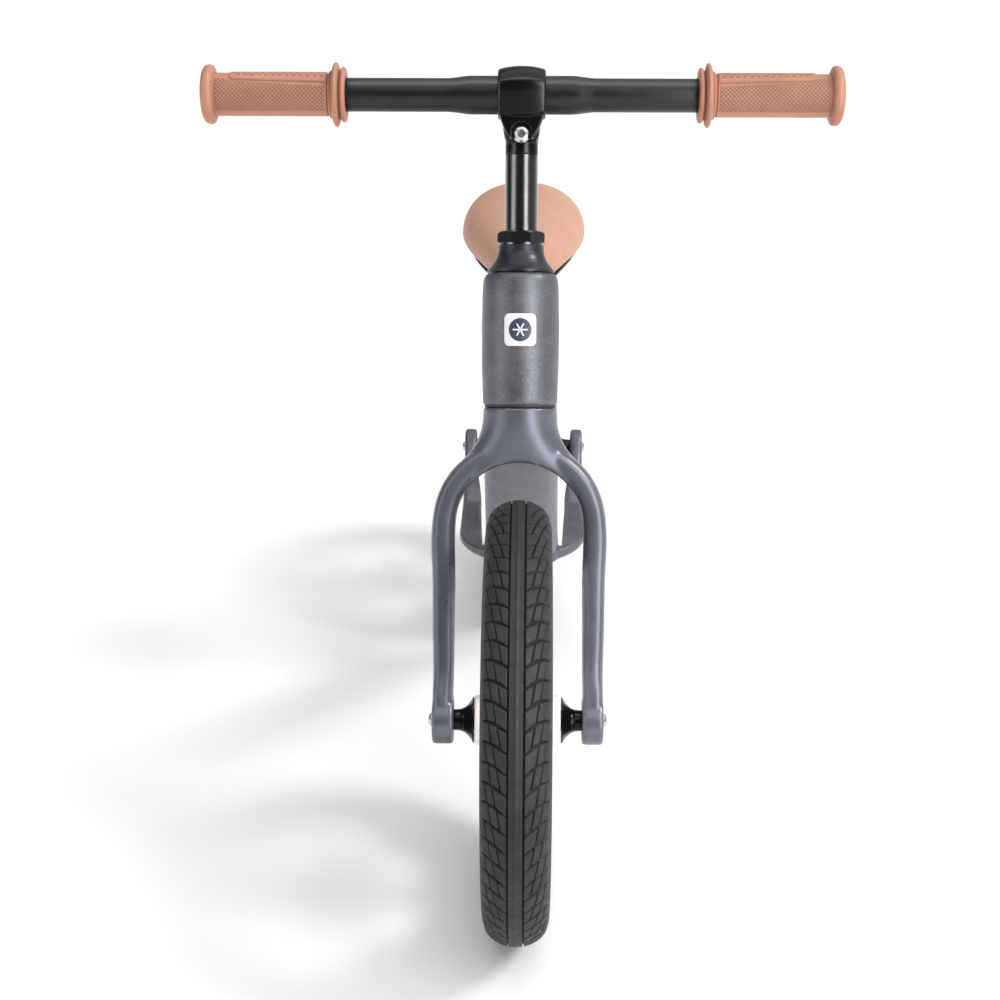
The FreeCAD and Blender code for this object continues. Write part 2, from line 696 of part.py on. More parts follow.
def deck():
    """The flat horseshoe that carries the feet, open to the rear round the wheel."""
    r, opening, end = DECK_HALF_WIDTH, DECK_OPENING_HALF, 222.0
    centre_y = DECK_FRONT_Y + r
    outer = [
        Part.Arc(Vector(-r, centre_y, 0), Vector(0, DECK_FRONT_Y, 0), Vector(r, centre_y, 0)).toShape(),
        Part.LineSegment(Vector(r, centre_y, 0), Vector(r, end, 0)).toShape(),
        Part.LineSegment(Vector(r, end, 0), Vector(40, end, 0)).toShape(),
        Part.LineSegment(Vector(40, end, 0), Vector(opening, 106, 0)).toShape(),
        Part.Arc(
            Vector(opening, 106, 0), Vector(opening - 1.2, 103.2, 0), Vector(opening - 4, 102, 0)
        ).toShape(),
        Part.LineSegment(Vector(opening - 4, 102, 0), Vector(4 - opening, 102, 0)).toShape(),
        Part.Arc(
            Vector(4 - opening, 102, 0), Vector(1.2 - opening, 103.2, 0), Vector(-opening, 106, 0)
        ).toShape(),
        Part.LineSegment(Vector(-opening, 106, 0), Vector(-40, end, 0)).toShape(),
        Part.LineSegment(Vector(-40, end, 0), Vector(-r, end, 0)).toShape(),
        Part.LineSegment(Vector(-r, end, 0), Vector(-r, centre_y, 0)).toShape(),
    ]
    plate = Part.Face(Part.Wire(Part.sortEdges(outer)[0])).extrude(Vector(0, 0, DECK_TOP - DECK_BOTTOM))
    plate.translate(Vector(0, 0, DECK_BOTTOM))
    rim = [e for e in plate.Edges if e.BoundBox.ZLength < 0.1 and on_deck_rim(e)]
    under = [e for e in rim if e.BoundBox.ZMin < DECK_BOTTOM + 0.1]
    bevelled = plate.makeChamfer(4.0, under)
    over = [e for e in bevelled.Edges if e.BoundBox.ZMin > DECK_TOP - 0.1 and on_deck_rim(e)]
    return bevelled.makeFillet(1.5, over)


def on_deck_rim(edge):
    """True for the semicircular front edge and the two straight outer edges."""
    ends = edge.Vertexes[0], edge.Vertexes[-1]
    return all(abs(end.X) > DECK_HALF_WIDTH - 0.1 for end in ends)


def stay(side):
    """One rear stay: a flat bar at the deck that stands up into the plate holding the axle."""
    mid, half = (DROPOUT_INNER_X + DROPOUT_OUTER_X) / 2, (DROPOUT_OUTER_X - DROPOUT_INNER_X) / 2
    level = (DECK_BOTTOM + DECK_TOP) / 2
    thick = (DECK_TOP - DECK_BOTTOM) / 2
    sections = (
        (205, 48.2, level, 8.6, thick - 0.3, 5),
        (232, 49.0, level + 9, 7.8, 11.0, 4),
        (256, mid, 139.0, half, 14.5, 4),
        (276, mid, 148.5, half, 16.0, 4),
    )
    bar = loft([oval(Vector(side * x, y, z), X, Z, w, h, q) for y, x, z, w, h, q in sections])
    eye = rod_on_x(17.0, DROPOUT_INNER_X, DROPOUT_OUTER_X)
    eye = eye.makeFillet(2.0, [e for e in eye.Edges if e.Closed and e.BoundBox.XLength < 0.1])
    eye.translate(Vector(0, REAR_AXLE_Y, AXLE_HEIGHT))
    return [bar, eye if side > 0 else mirrored(eye)]


def frame():
    """One casting: head tube, beam, seat tube, footrest deck and rear stays."""
    solid = fuse([head_tube(), down_tube(), deck()] + seat_tube() + stay(1) + stay(-1))
    post_bore = along_seat_tube(cylinder(POST_RADIUS + RUNNING, 90.0, SEAT_TUBE_LENGTH + 5))
    slot = along_seat_tube(box(-1.5, 1.5, 0, 30, SEAT_TUBE_LENGTH - 30, SEAT_TUBE_LENGTH + 5))
    axle_holes = rod_on_x(BOLT_RADIUS + SEATED, -70, 70)
    axle_holes.translate(Vector(0, REAR_AXLE_Y, AXLE_HEIGHT))
    hollow = down_tube(BEAM_WALL, BEAM_STATIONS[:-1])
    fork_room = steering(cylinder(NECK_RADIUS + FORK_CLEARANCE, 100, HEAD_BOTTOM - 0.3))
    for tool in (hollow, head_bores(), fork_room, post_bore, slot, axle_holes):
        solid = solid.cut(tool)
    return solid


def badge():
    """A small square plate with round corners, curved to lie on the head tube."""
    side, corner, height = BADGE_SIZE / 2, 3.6, 257.0
    plate = box(-side, side, -40, 0, height - side, height + side)
    plate = plate.makeFillet(corner, [e for e in plate.Edges if e.BoundBox.YLength > 30])
    return steering(plate.common(turned([(26.75, 240), (27.55, 240), (27.55, 275), (26.75, 275)])))


# ---- seat --------------------------------------------------------------------------------------


def seat_clamp():
    """The split collar at the top of the seat tube, with ears for its screw at the back."""
    high = SEAT_TUBE_LENGTH + 1.5
    low = high - 15.0
    ring = turned([(SEAT_TUBE_RADIUS + SEATED, low), (21.0, low), (21.0, high), (POST_RADIUS + 0.6, high),
                   (POST_RADIUS + 0.6, high - 1.2), (SEAT_TUBE_RADIUS + SEATED, high - 1.2)])
    ears = box(-8, 8, 18.5, 31, low + 1.5, high - 1.5)
    ears = ears.makeFillet(3.0, [e for e in ears.Edges if e.BoundBox.XLength > 10 and e.BoundBox.YMin > 30])
    body = fuse([ring, ears]).cut(box(-1.5, 1.5, 0, 40, low - 5, high + 5))
    hole = rod_on_x(BOLT_RADIUS + SEATED, -20, 20)
    hole.translate(Vector(0, 25.5, (low + high) / 2))
    return along_seat_tube(body.cut(hole))


def seat_clamp_bolt():
    screw = button_screw(-9.5, 8.0, BOLT_RADIUS, BOLT_HEAD_RADIUS, BOLT_HEAD_HEIGHT)
    screw.translate(Vector(0, 25.5, SEAT_TUBE_LENGTH - 6.0))
    return along_seat_tube(screw)


def seat_post():
    low = POST_TOP - POST_LENGTH
    wall = POST_RADIUS - 2.0
    half = [(wall, low), (POST_RADIUS, low), (POST_RADIUS, POST_TOP), (wall, POST_TOP)]
    return along_seat_tube(turned(half))


def saddle_bracket():
    """The plate on top of the post, with a hole at each corner for the saddle's screws."""
    top = saddle_bracket_top()
    plate = box(-20, 20, 82, 154, top - 4, top)
    plate = plate.makeFillet(6.0, [e for e in plate.Edges if e.BoundBox.ZLength > 3])
    plug = along_seat_tube(cylinder(POST_RADIUS - 2.0 - SEATED, POST_TOP - 15, POST_TOP + 1))
    shoulder = along_seat_tube(cylinder(POST_RADIUS + 3, POST_TOP + SEATED, POST_TOP + 3))
    holes = Part.makeCompound([screw_at(x, y, 3.1, top - 10, top + 5) for x, y in bracket_corners()])
    return fuse([plate, plug, shoulder]).cut(holes)


def saddle_bracket_top():
    return SADDLE_BOTTOM - 3.0


def bracket_corners():
    return [(x, y) for x in (-13, 13) for y in (90, 146)]


def screw_at(x, y, radius, low, high):
    return Part.makeCylinder(radius, high - low, Vector(x, y, low), Z)


def saddle_screws():
    """Four screws up through the bracket into the saddle's base."""
    top = saddle_bracket_top()
    screws = []
    for x, y in bracket_corners():
        head = screw_at(x, y, 5.0, top - 7.0, top - 4.0 - SEATED)
        screws.append(fuse([screw_at(x, y, 3.0, top - 4.1, top + 6.0), head]))
    return Part.makeCompound(screws)


# Saddle stations: distance back, half width, top height
SADDLE_STATIONS = (
    (-24, 13, 405),
    (-4, 24, 413),
    (35, 35, 418.5),
    (80, 45, 423),
    (125, 51, 429),
    (158, 51, 434),
    (180, 42, 432),
    (192, 26, 422),
)


def dome(y, wide, low, high):
    """A saddle section: a rounded top over a flatter underside."""
    points = []
    for i in range(24):
        a = 2 * math.pi * i / 24
        c, s = math.cos(a), math.sin(a)
        rise = (high - low - 8) * abs(s) ** 0.95 if s > 0 else -8 * abs(s) ** 0.6
        points.append(Vector(math.copysign(abs(c) ** 0.85, c) * wide, y, low + 8 + rise))
    curve = Part.BSplineCurve()
    curve.interpolate(Points=points, PeriodicFlag=True)
    return Part.Wire(curve.toShape())


def saddle_cover():
    """The moulded soft seat: narrow at the nose, wide and raised at the back."""
    cover = loft([dome(y, wide, SADDLE_BOTTOM, high) for y, wide, high in SADDLE_STATIONS])
    floor = SADDLE_BOTTOM + 0.5
    cover = cover.cut(box(-80, 80, -60, 240, floor - 40, floor))
    pocket = loft([saddle_plan(0.72, floor - 5), saddle_plan(0.66, floor + 9)])
    return cover.cut(pocket)


def saddle_plan(scale, z):
    """The saddle's outline from above, scaled about its middle."""
    middle = 90.0
    right = [(y, wide) for y, wide, _ in SADDLE_STATIONS]
    ring = [Vector(wide * scale, middle + (y - middle) * scale, z) for y, wide in right]
    ring += [Vector(-wide * scale, middle + (y - middle) * scale, z) for y, wide in reversed(right)]
    curve = Part.BSplineCurve()
    curve.interpolate(Points=ring, PeriodicFlag=True)
    return Part.Wire(curve.toShape())


def saddle_base():
    """The stiff tray under the soft cover, drilled for the screws."""
    low, floor = SADDLE_BOTTOM - 3.0 + SEATED, SADDLE_BOTTOM + 0.3
    tray = loft([saddle_plan(0.86, low), saddle_plan(0.9, floor)])
    boss = loft([saddle_plan(0.62, floor - 0.5), saddle_plan(0.60, floor + 7.5)])
    holes = [screw_at(x, y, 3.0 + SEATED, low - 2, low + 8) for x, y in bracket_corners()]
    return fuse([tray, boss]).cut(Part.makeCompound(holes))


# ---- everything --------------------------------------------------------------------------------


def save(shape, name):
    """Writes one node after making sure that all it holds is closed and sound."""
    for solid in shape.Solids:
        if not solid.isValid():
            print(name, "has an invalid solid")
    print(name, len(shape.Solids), "solid", round(shape.Volume / 1000, 1), "cm3")
    shape.exportStep("parts/" + name + ".step")


def main():
    os.makedirs("parts", exist_ok=True)
    wheel_set("front", FRONT_AXLE_Y, LEG_INNER_X, LEG_OUTER_X)
    wheel_set("rear", REAR_AXLE_Y, DROPOUT_INNER_X, DROPOUT_OUTER_X)
    steered = {
        "fork": fork(),
        "steerer": steerer(),
        "crown_race": crown_race(),
        "lower_headset_bearing": headset_bearing(208.4),
        "upper_headset_bearing": headset_bearing(287.2),
        "cone_cover": cone_cover(),
        "lock_washer": lock_washer(),
        "locknut": locknut(),
        "stem_quill": stem_quill(),
        "stem_head": stem_head(),
        "expander_wedge": expander_wedge(),
        "expander_bolt": expander_bolt(),
        "bar_clamp_bolt": bar_clamp_bolt(),
        "handlebar": handlebar(),
        "grip_left": grip(1),
        "grip_right": grip(-1),
    }
    for name, shape in steered.items():
        save(steering(shape), name)
    fixed = {
        "frame": frame(),
        "badge": badge(),
        "seat_clamp": seat_clamp(),
        "seat_clamp_bolt": seat_clamp_bolt(),
        "seat_post": seat_post(),
        "saddle_bracket": saddle_bracket(),
        "saddle_screws": saddle_screws(),
        "saddle_base": saddle_base(),
        "saddle_cover": saddle_cover(),
    }
    for name, shape in fixed.items():
        save(shape, name)


main()
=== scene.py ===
import json
import math

import bpy
import numpy as np
from mathutils import Matrix, Vector

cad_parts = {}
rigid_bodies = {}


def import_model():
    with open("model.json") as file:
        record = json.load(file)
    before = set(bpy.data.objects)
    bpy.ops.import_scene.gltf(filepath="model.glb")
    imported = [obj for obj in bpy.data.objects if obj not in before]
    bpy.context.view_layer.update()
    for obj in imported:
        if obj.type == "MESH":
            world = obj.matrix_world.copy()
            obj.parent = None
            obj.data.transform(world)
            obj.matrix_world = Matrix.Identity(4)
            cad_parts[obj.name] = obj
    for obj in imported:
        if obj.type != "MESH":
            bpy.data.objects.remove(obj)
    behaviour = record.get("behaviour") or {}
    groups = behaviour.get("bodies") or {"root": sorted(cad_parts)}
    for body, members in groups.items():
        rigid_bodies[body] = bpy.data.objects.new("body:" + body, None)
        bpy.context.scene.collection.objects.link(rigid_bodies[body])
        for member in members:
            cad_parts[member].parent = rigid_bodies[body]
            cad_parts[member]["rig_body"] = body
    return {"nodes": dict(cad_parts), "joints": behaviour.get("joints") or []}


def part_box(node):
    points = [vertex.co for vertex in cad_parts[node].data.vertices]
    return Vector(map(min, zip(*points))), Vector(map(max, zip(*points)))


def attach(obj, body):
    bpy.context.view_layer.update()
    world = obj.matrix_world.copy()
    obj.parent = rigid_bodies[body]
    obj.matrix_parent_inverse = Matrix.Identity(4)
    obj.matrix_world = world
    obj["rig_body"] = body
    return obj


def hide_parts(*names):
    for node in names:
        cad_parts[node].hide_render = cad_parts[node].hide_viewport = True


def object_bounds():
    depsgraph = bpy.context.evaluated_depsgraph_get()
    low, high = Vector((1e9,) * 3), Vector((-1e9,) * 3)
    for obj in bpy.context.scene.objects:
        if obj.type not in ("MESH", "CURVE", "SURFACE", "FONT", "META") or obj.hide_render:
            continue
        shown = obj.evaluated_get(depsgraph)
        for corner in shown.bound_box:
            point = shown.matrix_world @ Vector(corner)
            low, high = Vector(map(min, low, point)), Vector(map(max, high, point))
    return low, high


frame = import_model()
CAD_LOW, CAD_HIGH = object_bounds()

# The looks of a child's balance bike. Metres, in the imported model's frame: the bike rolls towards -Y.
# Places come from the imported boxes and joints; the finer shapes are worked out in millimetres (MM).
MM = 0.001
JOINTS = {j["name"]: j for j in frame["joints"]}
STEERING_FOOT = Vector(JOINTS["steering"]["pos_m"])
STEERING_AXIS = Vector(JOINTS["steering"]["axis"])
FRONT_AXLE = Vector(JOINTS["front_wheel_spin"]["pos_m"])
REAR_AXLE = Vector(JOINTS["rear_wheel_spin"]["pos_m"])
BAR_LINE = Vector(JOINTS["bar_tilt"]["pos_m"])
LEAN = math.atan2(STEERING_AXIS.y, STEERING_AXIS.z)
STEERING_FRAME = Matrix.Translation(STEERING_FOOT) @ Matrix.Rotation(-LEAN, 4, "X")


# ---- mesh helpers ------------------------------------------------------------------------------


def mesh_object(name, points, faces, smooth=True):
    """A new object from points in metres and faces."""
    mesh = bpy.data.meshes.new(name)
    mesh.from_pydata([tuple(p) for p in points], [], faces)
    mesh.polygons.foreach_set("use_smooth", [smooth] * len(mesh.polygons))
    mesh.update()
    made = bpy.data.objects.new(name, mesh)
    bpy.context.scene.collection.objects.link(made)
    return made


def grid_faces(rows, columns, wrap_rows=False):
    """Quads of a grid of points numbered row by row, whose rows are closed rings."""
    faces = []
    for i in range(rows if wrap_rows else rows - 1):
        here, there = i * columns, (i + 1) % rows * columns
        for j in range(columns):
            k = (j + 1) % columns
            faces.append((here + j, here + k, there + k, there + j))
    return faces


def smoothstep(x, low, high):
    """Rises smoothly from 0 at low to 1 at high."""
    t = np.clip((np.asarray(x, float) - low) / (high - low), 0, 1)
    return t * t * (3 - 2 * t)


def smooth_line(points, count):
    """Points spread evenly along a smooth curve through a few given ones."""
    given = np.array(points, float)
    before = np.vstack([2 * given[0] - given[1], given[:-1]])
    after = np.vstack([given[1:], 2 * given[-1] - given[-2]])
    slope = (after - before) / 2
    spread = np.linspace(0, len(given) - 1, count)
    i = np.minimum(spread.astype(int), len(given) - 2)
    t = (spread - i)[:, None]
    a, b, ma, mb = given[i], given[i + 1], slope[i], slope[i + 1]
    return (
        (2 * t**3 - 3 * t**2 + 1) * a + (t**3 - 2 * t**2 + t) * ma
        + (3 * t**2 - 2 * t**3) * b + (t**3 - t**2) * mb
    )


def with_groove_shade_weights(made, painted_shade_weights):
    """Stores how deep in a groove each point lies, 0 to 1, for the finish to darken as painted shade."""
    depth = made.data.attributes.new("hollow", "FLOAT", "POINT")
    depth.data.foreach_set("value", np.concatenate(painted_shade_weights).astype(np.float32))
    return made


def end_caps(rows, columns):
    """The two faces that close the first and the last ring of a grid."""
    return [tuple(range(columns))[::-1], tuple(range((rows - 1) * columns, rows * columns))]


def steered(x, y, height):
    """A point of the steering frame, from millimetres. Its z runs up the steering axis."""
    return STEERING_FRAME @ (Vector((x, y, height)) * MM)


def steered_ring(radius, height, around):
    """Points of a circle about the steering axis, in millimetres."""
    angles = [2 * math.pi * i / around for i in range(around)]
    return [steered(radius * math.cos(a), radius * math.sin(a), height) for a in angles]


def lathe_on_x(name, profile, centre, around=96):
    """A turned piece about the X direction through centre, from (x, radius) points in millimetres."""
    angles = np.linspace(0, 2 * math.pi, around, endpoint=False)
    rings = [
        (x * MM + centre.x, centre.y + r * MM * math.cos(a), centre.z + r * MM * math.sin(a))
        for x, r in profile
        for a in angles
    ]
    return mesh_object(name, rings, grid_faces(len(profile), around))


def three_point_arc(a, b, c, count):
    """Points along the circle arc from a to c through b, ends included."""
    (ax, ay), (bx, by), (cx, cy) = a, b, c
    d = 2 * (ax * (by - cy) + bx * (cy - ay) + cx * (ay - by))
    ux = ((ax**2 + ay**2) * (by - cy) + (bx**2 + by**2) * (cy - ay) + (cx**2 + cy**2) * (ay - by)) / d
    uy = ((ax**2 + ay**2) * (cx - bx) + (bx**2 + by**2) * (ax - cx) + (cx**2 + cy**2) * (bx - ax)) / d
    start, end = (math.atan2(y - uy, x - ux) for x, y in (a, c))
    turn = (end - start + math.pi) % (2 * math.pi) - math.pi
    radius = math.hypot(ax - ux, ay - uy)
    return [
        (ux + radius * math.cos(start + turn * t), uy + radius * math.sin(start + turn * t))
        for t in np.linspace(0, 1, count)
    ]


def add_remesh(made, voxel):
    remesh = made.modifiers.new("remesh", "REMESH")
    remesh.mode = "VOXEL"
    remesh.voxel_size = voxel


def softened(made, rounds):
    """Smooths a piece's edges and makes its modifiers part of its mesh."""
    soften = made.modifiers.new("soften", "SMOOTH")
    soften.factor = 0.5
    soften.iterations = rounds
    evaluated = made.evaluated_get(bpy.context.evaluated_depsgraph_get())
    shaped = bpy.data.meshes.new_from_object(evaluated)
    made.modifiers.clear()
    made.data = shaped
    shaped.polygons.foreach_set("use_smooth", [True] * len(shaped.polygons))
    return made


def cast_skin(name, node, voxel, rounds):
    """A smooth cast or moulded skin made from a CAD node: its edges rounded and its joints blended."""
    made = bpy.data.objects.new(name, frame["nodes"][node].data.copy())
    bpy.context.scene.collection.objects.link(made)
    made.data.materials.clear()
    add_remesh(made, voxel)
    return softened(made, rounds)


def stands_for(piece, node, material):
    """Puts a finished piece in the place of a CAD node, on the same body."""
    piece.data.materials.clear()
    piece.data.materials.append(material)
    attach(piece, frame["nodes"][node]["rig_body"])
    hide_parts(node)


# ---- materials ---------------------------------------------------------------------------------


def paint(red, green, blue):
    """A screen colour from 0 to 255 as the linear colour that shaders use."""
    return tuple(
        c / 12.92 if c <= 0.04045 else ((c + 0.055) / 1.055) ** 2.4
        for c in (red / 255, green / 255, blue / 255)
    ) + (1.0,)


PAINTED_GROOVE_SHADE_DARK = 0.12  # painted shade on a groove's floor, against the darker of the finish's two colours
COAT_ROUGHNESS = 0.12
SHEEN_ROUGHNESS = 0.5
BRUSH_SCALE = 500.0  # brushed lines per metre
BRUSH_SQUEEZE = (0.06, 1.0, 1.0)  # draws the brushed noise out along X


def surface(
    name, light, dark, roughness, grain, grain_depth, mottle=40.0, metallic=0.0,
    coat=0.0, sheen=0.0, specular=0.5, scratches=0.0, speck=None, painted_groove_shade=0.0,
):
    """A procedural finish. Two colours drift into each other at the mottle scale, roughness drifts
    between its two values, and a fine grain (per metre) gives the relief, grain_depth metres deep.
    Where a mesh has a hollow attribute, painted shade darkens its grooves by painted_groove_shade."""
    made = bpy.data.materials.new(name)
    made.use_nodes = True
    nodes, links = made.node_tree.nodes, made.node_tree.links
    shader = nodes["Principled BSDF"]
    shader.inputs["Metallic"].default_value = metallic
    shader.inputs["Coat Weight"].default_value = coat
    shader.inputs["Coat Roughness"].default_value = COAT_ROUGHNESS
    shader.inputs["Sheen Weight"].default_value = sheen
    shader.inputs["Sheen Roughness"].default_value = SHEEN_ROUGHNESS
    shader.inputs["Specular IOR Level"].default_value = specular
    place = nodes.new("ShaderNodeTexCoord").outputs["Object"]

    def noise(scale, detail, rough=0.55):
        node = nodes.new("ShaderNodeTexNoise")
        node.inputs["Scale"].default_value = scale
        node.inputs["Detail"].default_value = detail
        node.inputs["Roughness"].default_value = rough
        links.new(place, node.inputs["Vector"])
        return node.outputs["Fac"]

    def ramp(factor, low, high, low_colour, high_colour):
        node = nodes.new("ShaderNodeValToRGB")
        first, last = node.color_ramp.elements
        first.position, last.position = low, high
        first.color, last.color = low_colour, high_colour
        links.new(factor, node.inputs["Fac"])
        return node.outputs["Color"]

    def painted_over(base, paint_colour, factor):
        node = nodes.new("ShaderNodeMix")
        node.data_type = "RGBA"
        links.new(factor, node.inputs["Factor"])
        links.new(base, node.inputs["A"])
        node.inputs["B"].default_value = paint_colour
        return node.outputs["Result"]

    colour = ramp(noise(mottle, 4.0), 0.35, 0.65, dark, light)
    fine = noise(grain, 3.0, 0.6)
    if speck:
        spots = ramp(fine, 0.56, 0.72, (0, 0, 0, 1), (1, 1, 1, 1))
        colour = painted_over(colour, speck, spots)
    # painted shade: grooves, dimples and gaps marked by the hollow attribute are darkened towards near black
    if painted_groove_shade:
        hollow = nodes.new("ShaderNodeAttribute")
        hollow.attribute_name = "hollow"
        share = nodes.new("ShaderNodeMath")
        share.operation = "MULTIPLY"
        links.new(hollow.outputs["Fac"], share.inputs[0])
        share.inputs[1].default_value = painted_groove_shade
        painted_shade_colour = tuple(c * PAINTED_GROOVE_SHADE_DARK for c in dark[:3]) + (1.0,)
        colour = painted_over(colour, painted_shade_colour, share.outputs["Value"])
    links.new(colour, shader.inputs["Base Color"])

    gloss = nodes.new("ShaderNodeMapRange")
    gloss.inputs["From Min"].default_value = 0.3
    gloss.inputs["From Max"].default_value = 0.7
    gloss.inputs["To Min"].default_value = roughness[0]
    gloss.inputs["To Max"].default_value = roughness[1]
    links.new(noise(mottle * 3, 5.0), gloss.inputs["Value"])
    links.new(gloss.outputs["Result"], shader.inputs["Roughness"])

    relief = nodes.new("ShaderNodeBump")
    relief.inputs["Distance"].default_value = grain_depth
    relief.inputs["Strength"].default_value = 1.0
    links.new(fine, relief.inputs["Height"])
    normal = relief.outputs["Normal"]
    if scratches:
        fine_lines = nodes.new("ShaderNodeTexNoise")
        fine_lines.inputs["Scale"].default_value = BRUSH_SCALE
        fine_lines.inputs["Detail"].default_value = 2.0
        squeeze = nodes.new("ShaderNodeMapping")
        squeeze.inputs["Scale"].default_value = BRUSH_SQUEEZE
        links.new(place, squeeze.inputs["Vector"])
        links.new(squeeze.outputs["Vector"], fine_lines.inputs["Vector"])
        brushed = nodes.new("ShaderNodeBump")
        brushed.inputs["Distance"].default_value = scratches
        links.new(fine_lines.outputs["Fac"], brushed.inputs["Height"])
        links.new(normal, brushed.inputs["Normal"])
        normal = brushed.outputs["Normal"]
    links.new(normal, shader.inputs["Normal"])
    return made


# the tread's grooves and sipes get painted shade through painted_groove_shade
TYRE = surface(
    "tyre_rubber", paint(46, 46, 48), paint(37, 37, 39), (0.5, 0.72), 1500, 0.00012,
    mottle=60, specular=0.3, painted_groove_shade=0.95,
)
TUBE = surface("tube_rubber", paint(38, 38, 39), paint(26, 26, 28), (0.45, 0.6), 900, 0.00005)
CREAM = surface(
    "cream_nylon", paint(243, 241, 235), paint(235, 232, 225), (0.32, 0.45), 700, 0.00004,
    mottle=25, sheen=0.05,
)
STEEL = surface(
    "bearing_steel", paint(190, 190, 192), paint(165, 166, 170), (0.18, 0.32), 2500, 0.000004,
    metallic=1.0, scratches=0.00001,
)
# headset bearings darkened to near black as painted shade in the gap between the fork and the head tube
GAP_SHADE_STEEL = surface(
    "shade_darkened_steel", paint(34, 34, 36), paint(26, 26, 28), (0.3, 0.45), 1800, 0.00001, metallic=0.6,
)
VALVE = surface("valve_rubber", paint(34, 34, 35), paint(24, 24, 26), (0.5, 0.65), 900, 0.00004)
PLASTIC = surface(
    "black_plastic", paint(40, 40, 43), paint(30, 30, 33), (0.42, 0.58), 1200, 0.00005, mottle=50,
)
PLATED = surface(
    "plated_steel", paint(214, 210, 208), paint(186, 183, 184), (0.14, 0.3), 1800, 0.00001,
    mottle=220, metallic=1.0, scratches=0.000012,
)
GLOSS_ALLOY = surface(
    "gloss_black_alloy", paint(14, 14, 16), paint(10, 10, 12), (0.1, 0.16), 900, 0.000003,
    mottle=30, coat=0.15, specular=0.1,
)
SATIN_ALLOY = surface(
    "satin_black_alloy", paint(64, 65, 71), paint(54, 55, 61), (0.26, 0.36), 2200, 0.00002,
    mottle=60, metallic=0.7,
)
GLOSS_STEEL = surface(
    "gloss_black_steel", paint(12, 12, 15), paint(8, 8, 11), (0.07, 0.12), 900, 0.000003,
    mottle=30, coat=0.85, specular=0.4,
)
SATIN_STEEL = surface(
    "satin_black_steel", paint(24, 24, 29), paint(18, 18, 22), (0.26, 0.36), 1600, 0.000012,
    mottle=30, specular=0.36,
)
FRAME_GREY = surface(
    "frame_grey", paint(104, 106, 111), paint(90, 92, 97), (0.34, 0.46), 1200, 0.00008,
    mottle=35, metallic=0.55, speck=paint(140, 142, 148),
)
FORK_SLATE = surface(
    "fork_slate", paint(108, 111, 120), paint(98, 102, 111), (0.26, 0.36), 1500, 0.00002,
    mottle=22, metallic=0.45,
)
WHITE_PLATE = surface(
    "badge_plate", paint(240, 240, 239), paint(230, 230, 230), (0.3, 0.4), 1400, 0.00001,
)
BADGE_INK = surface(
    "badge_ink", paint(58, 70, 86), paint(48, 60, 76), (0.35, 0.45), 1400, 0.00001,
)
# the grips' grooves, dimples and flange gaps get painted shade through painted_groove_shade
TERRACOTTA = surface(
    "terracotta_rubber", paint(186, 130, 103), paint(174, 118, 92), (0.4, 0.52), 1300, 0.00005,
    mottle=45, specular=0.45, painted_groove_shade=0.6,
)
SADDLE_SKIN = surface(
    "saddle_foam", paint(196, 150, 126), paint(189, 142, 118), (0.46, 0.58), 1100, 0.00005,
    mottle=18, specular=0.4,
)

NODE_FINISH = {
    "inner_tube": TUBE,
    "wheel": CREAM,
    "bearing_left": STEEL,
    "bearing_right": STEEL,
    "valve_stem": VALVE,
    "valve_cap": PLASTIC,
    "hub_sleeve": STEEL,
    "axle": STEEL,
    "spacer_left": GLOSS_ALLOY,
    "spacer_right": GLOSS_ALLOY,
    "axle_bolts": PLATED,
    "tyre": TYRE,
    "fork": FORK_SLATE,
    "steerer": SATIN_STEEL,
    "crown_race": GAP_SHADE_STEEL,
    "lower_headset_bearing": GAP_SHADE_STEEL,
    "upper_headset_bearing": GAP_SHADE_STEEL,
    "cone_cover": SATIN_ALLOY,
    "lock_washer": GLOSS_STEEL,
    "locknut": GLOSS_STEEL,
    "stem_quill": GLOSS_STEEL,
    "stem_head": GLOSS_ALLOY,
    "expander_wedge": STEEL,
    "expander_bolt": PLATED,
    "bar_clamp_bolt": PLATED,
    "handlebar": SATIN_STEEL,
    "grip_left": TERRACOTTA,
    "grip_right": TERRACOTTA,
    "frame": FRAME_GREY,
    "badge": WHITE_PLATE,
    "seat_clamp": GLOSS_ALLOY,
    "seat_clamp_bolt": PLATED,
    "seat_post": SATIN_STEEL,
    "saddle_bracket": SATIN_STEEL,
    "saddle_screws": PLATED,
    "saddle_base": PLASTIC,
    "saddle_cover": SADDLE_SKIN,
}


def finish_cad_nodes():
    """Gives every CAD node its own procedural finish."""
    for name, node in frame["nodes"].items():
        plain = name.removeprefix("front_").removeprefix("rear_")
        node.data.materials.clear()
        node.data.materials.append(NODE_FINISH[plain])


# ---- tyres -------------------------------------------------------------------------------------

PITCHES = 72  # tread blocks round the tyre
TYRE_WALL = 4.0
TYRE_HALF_WIDTH = 22.5
BEAD_HALF_WIDTH = 14.1
SHOULDER_OUT, SHOULDER_DROP = 14.0, 4.2  # the tread's edge, from the middle of the crown
WIDEST_DEPTH = 22.0  # from the crown down to the widest line
BEAD_DEPTH = 48.1  # from the crown down to the bead's foot
LIP_DEPTH = 40.2  # from the crown down to the rim's edge
RIB_DROP = 0.3  # the rib's shoulders below its middle
GROOVE_DEPTH = 2.1
LATERAL_DEPTH = 1.7
SIPE_DEPTH = 1.5
EDGE_DEPTH = 0.5
BLOCK_DROP = 0.1
DEEP_GROOVE = (4.35, 5.85)  # distances from the crown's middle, along the surface
SIPES = (10.7, 13.9, 17.1, 20.3)
SIPE_SLANT = 2.2  # how far a sipe moves outwards over one block
SIPE_HALF = 0.48
LATERAL_SHARE = 0.125  # how much of a block's length its cross groove takes
TREAD_EDGE = 24.3
CHEVRON_RISE = 7.6


